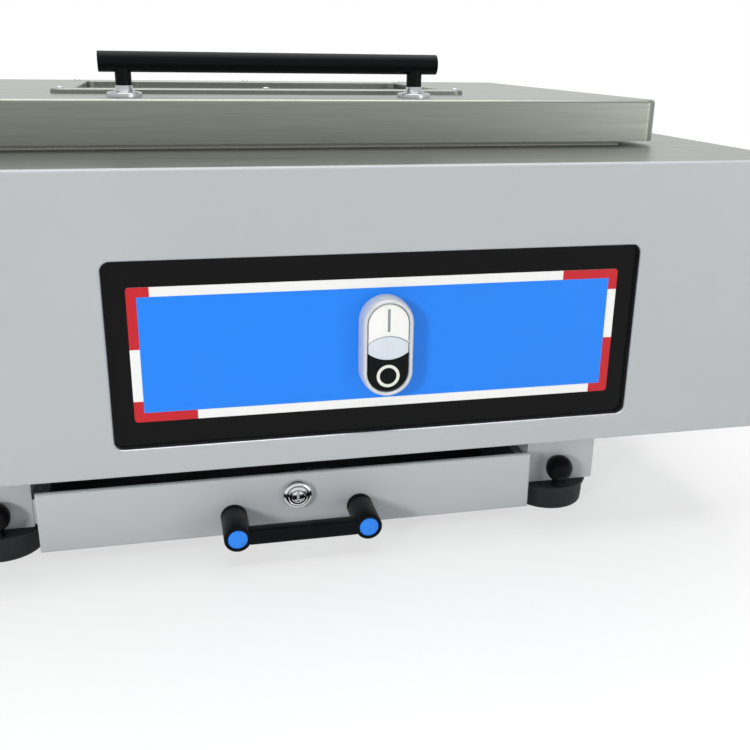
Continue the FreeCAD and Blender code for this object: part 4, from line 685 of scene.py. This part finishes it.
def make_feet():
    """The rubber pads and the ball knobs."""
    pad = [(0, 0), (22, 0)] + arc(1.5, -90, 0, 4, 22.8, 1.5)
    pad += [(24.7, 7), (24.9, 13.4), (25.1, 13.9), (25.9, 14.4)]
    pad += arc(0.9, -30, 90, 5, 25.5, 16.1) + [(6, FOOT_HEIGHT), (0, FOOT_HEIGHT)]
    places = [facing(x, y, 0, (0, 0, 1)) for x, y in corners("foot_pads", FOOT_DIAMETER)]
    rubbers = copied(turned(pad, 72), places)
    keep(rubbers, "foot_pad_rubbers", "oven_body", "foot_rubber", ["foot_pads"], 40)
    knob = [(0, FOOT_HEIGHT), (4.75, FOOT_HEIGHT), (4.75, 17.6), (4.3, 18.2), (4.3, 20.6)]
    knob += arc(KNOB_DIAMETER / 2, -58, 90, 18, 0, KNOB_HEIGHT)
    places = [facing(x, y, 0, (0, 0, 1)) for x, y in corners("foot_ball_knobs", KNOB_DIAMETER)]
    grips = copied(turned(knob), places)
    keep(grips, "foot_ball_grips", "oven_body", "black_plastic", ["foot_ball_knobs"], 50)


# Small fasteners that hold the casing
REAR_SCREWS_X = (-288, -100, 100, 288)
REAR_SCREW_INSET = 8
TOP_SCREWS_X = (-285, 285)
TOP_SCREWS_Y = (-205, 0, 212)
GLASS_SCREW_INSET = 6
HINGE_X = 160
HINGE_SCREWS_X = (-24, 0, 24)
HINGE_SCREW_INSET = 9
HINGE_LEAF = 1.5
LID_HANDLE_POST_X = 90


def screw_heads(name, places, direction, body, radius=3.2, height=1.7):
    """Domed socket screws standing on a surface."""
    shape = [(0, 0.35), (0.42, 0.35), (0.42, 0.99), (0.5, 1.0), (0.72, 0.93), (0.9, 0.72), (0.985, 0.4),
             (1.0, 0.0), (0, 0.0)]
    model = turned([(r * radius, h * height) for r, h in shape], 24)
    keep(copied(model, [facing(x, y, z, direction) for x, y, z in places]), name, body, "zinc_steel")


def make_fasteners():
    """The screws of the rear panel, top plate, glass frame and hinges."""
    low, high = (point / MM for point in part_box("rear_panel"))
    rows = [low.z + REAR_SCREW_INSET, high.z - REAR_SCREW_INSET]
    spots = [(x, high.y, z) for x in REAR_SCREWS_X for z in rows]
    screw_heads("rear_panel_screws", spots, (0, 1, 0), "oven_body")
    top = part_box("top_plate")[1].z / MM
    spots = [(x, y, top) for x in TOP_SCREWS_X for y in TOP_SCREWS_Y]
    screw_heads("top_plate_screws", spots, (0, 0, 1), "oven_body", 3.6, 1.4)
    low, high = (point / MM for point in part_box("glass_frame"))
    columns = (low.x + GLASS_SCREW_INSET, 0, high.x - GLASS_SCREW_INSET)
    rows = (low.y + GLASS_SCREW_INSET, high.y - GLASS_SCREW_INSET)
    spots = [(x, y, high.z) for x in columns for y in rows]
    screw_heads("glass_frame_screws", spots, (0, 0, 1), "lid", 2.4, 1.2)
    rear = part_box("hinge_leaves_fixed")[1].y / MM - HINGE_SCREW_INSET
    columns = [side * HINGE_X + shift for side in (-1, 1) for shift in HINGE_SCREWS_X]
    spots = [(x, rear, top + HINGE_LEAF) for x in columns]
    screw_heads("hinge_screws", spots, (0, 0, 1), "oven_body", 3.0, 1.3)


def make_lid_handle_rosettes():
    """The turned rosettes under the posts of the lid's handle."""
    middle = middle_of("lid_handle") / MM
    lid_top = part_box("lid_skin")[1].z / MM
    profile = [(0, 0), (10.5, 0)] + arc(1.2, 0, 90, 4, 9.3, 1.6)
    profile += [(6.2, 3.2), (5.2, 5.0), (4.8, 6.5), (0, 6.5)]
    places = [facing(side * LID_HANDLE_POST_X, middle.y, lid_top, (0, 0, 1)) for side in (-1, 1)]
    keep(copied(turned(profile, 40), places), "lid_handle_rosettes", "lid", "zinc_steel")


make_window_edge()
make_bezel()
make_caps()
make_lens()
make_signs()
make_handle()
make_lock()
make_feet()
make_fasteners()
make_lid_handle_rosettes()


# Floor, light and camera
FLOOR_SIZE = 40
FLOOR_LIFT = 0.62
FADE_START = 0.6
FADE_END = 1.8
AMBIENT = 0.3
SENSOR_WIDTH = 36
FOCAL_LENGTH = 44.4
CAMERA_PLACE = (-0.0715, -0.7101, 0.2956)
CAMERA_RIGHT = (0.97536, -0.22063, 0.01337)
CAMERA_FORWARD = (0.2126, 0.9194, -0.3309)


def seen_rays(tree):
    """One for rays that show a surface to the eye, straight or by way of metal and glass."""
    ray = add(tree, "ShaderNodeLightPath")
    seen = ray.outputs["Is Camera Ray"]
    for other in ("Is Glossy Ray", "Is Transmission Ray"):
        seen = add(tree, "ShaderNodeMath", {0: seen, 1: ray.outputs[other]}, operation="MAXIMUM").outputs[0]
    return seen


def make_floor():
    """The pale bench top."""
    deselect()
    bpy.ops.mesh.primitive_plane_add(size=FLOOR_SIZE)
    floor = bpy.context.object
    floor.name = "floor"
    material, tree, shader, where = start_material("pale_bench_laminate", Specular_IOR_Level=0.35)
    wear = add(tree, "ShaderNodeTexNoise", {"Vector": where, "Scale": per_metre(180)})
    tone = add(tree, "ShaderNodeMix", {"Factor": wear.outputs["Fac"], MIX_A: linear("#EFEFED"),
                                       MIX_B: linear("#F4F4F2")}, data_type="RGBA")
    gloss = add(tree, "ShaderNodeMapRange", {"Value": wear.outputs["Fac"], "To Min": 0.26, "To Max": 0.36})
    join_up(tree, shader, tone, gloss)
    # The floor is lifted towards white where it is seen, keeps part of its shadows and fades to the backdrop.
    white = add(tree, "ShaderNodeEmission", {"Color": (1, 1, 1, 1), "Strength": 1.0})
    away = add(tree, "ShaderNodeVectorMath", {0: where}, operation="LENGTH")
    lift = add(tree, "ShaderNodeMapRange", {"Value": away.outputs["Value"], "From Min": FADE_START,
                                            "From Max": FADE_END, "To Min": FLOOR_LIFT, "To Max": 1.0})
    share = add(tree, "ShaderNodeMath", {0: seen_rays(tree), 1: lift.outputs["Result"]}, operation="MULTIPLY")
    mix = add(tree, "ShaderNodeMixShader", {0: share.outputs[0], 1: shader.outputs[0], 2: white.outputs[0]})
    tree.links.new(mix.outputs[0], tree.nodes["Material Output"].inputs["Surface"])
    floor.data.materials.append(material)


def make_light(name, size, energy, place, target, mirrored=True):
    """A square lamp at a place, turned to a target; bright metal may mirror it or not."""
    lamp = bpy.data.lights.new(name, "AREA")
    lamp.shape = "RECTANGLE"
    lamp.size, lamp.size_y = size
    lamp.energy = energy
    holder = bpy.data.objects.new(name, lamp)
    bpy.context.scene.collection.objects.link(holder)
    holder.visible_glossy = mirrored
    holder.location = place
    holder.rotation_euler = (Vector(target) - Vector(place)).to_track_quat("-Z", "Y").to_euler()


def make_world():
    """Dim light from all round, and a white backdrop where it is seen."""
    world = bpy.data.worlds.new("studio")
    bpy.context.scene.world = world
    world.use_nodes = True
    tree = world.node_tree
    tree.nodes.clear()
    ambient = add(tree, "ShaderNodeBackground", {"Color": (0.95, 0.97, 1.0, 1), "Strength": AMBIENT})
    backdrop = add(tree, "ShaderNodeBackground", {"Color": (1, 1, 1, 1), "Strength": 1.0})
    mix = add(tree, "ShaderNodeMixShader", {0: seen_rays(tree), 1: ambient.outputs[0],
                                            2: backdrop.outputs[0]})
    add(tree, "ShaderNodeOutputWorld", {"Surface": mix.outputs[0]})


def make_camera():
    """The camera's place and lens."""
    lens = bpy.data.cameras.new("camera")
    lens.sensor_width = SENSOR_WIDTH
    lens.lens = FOCAL_LENGTH
    lens.clip_start = 0.01
    camera = bpy.data.objects.new("camera", lens)
    bpy.context.scene.collection.objects.link(camera)
    right = Vector(CAMERA_RIGHT).normalized()
    forward = Vector(CAMERA_FORWARD).normalized()
    up = right.cross(forward).normalized()
    matrix = Matrix((right, up, -forward)).transposed().to_4x4()
    matrix.translation = CAMERA_PLACE
    camera.matrix_world = matrix
    bpy.context.scene.camera = camera


make_floor()
make_world()
make_light("key", (0.45, 0.45), 37, (-2.1, -2.2, 1.0), (0.0, -0.2, 0.14), mirrored=False)
make_light("fill", (0.8, 0.8), 7, (1.6, -1.9, 0.35), (0.1, -0.2, 0.08))
make_light("sky", (2.4, 2.4), 58, (0.0, 0.1, 2.3), (0, 0, 0))
make_camera()
bpy.context.scene.view_settings.view_transform = "Standard"
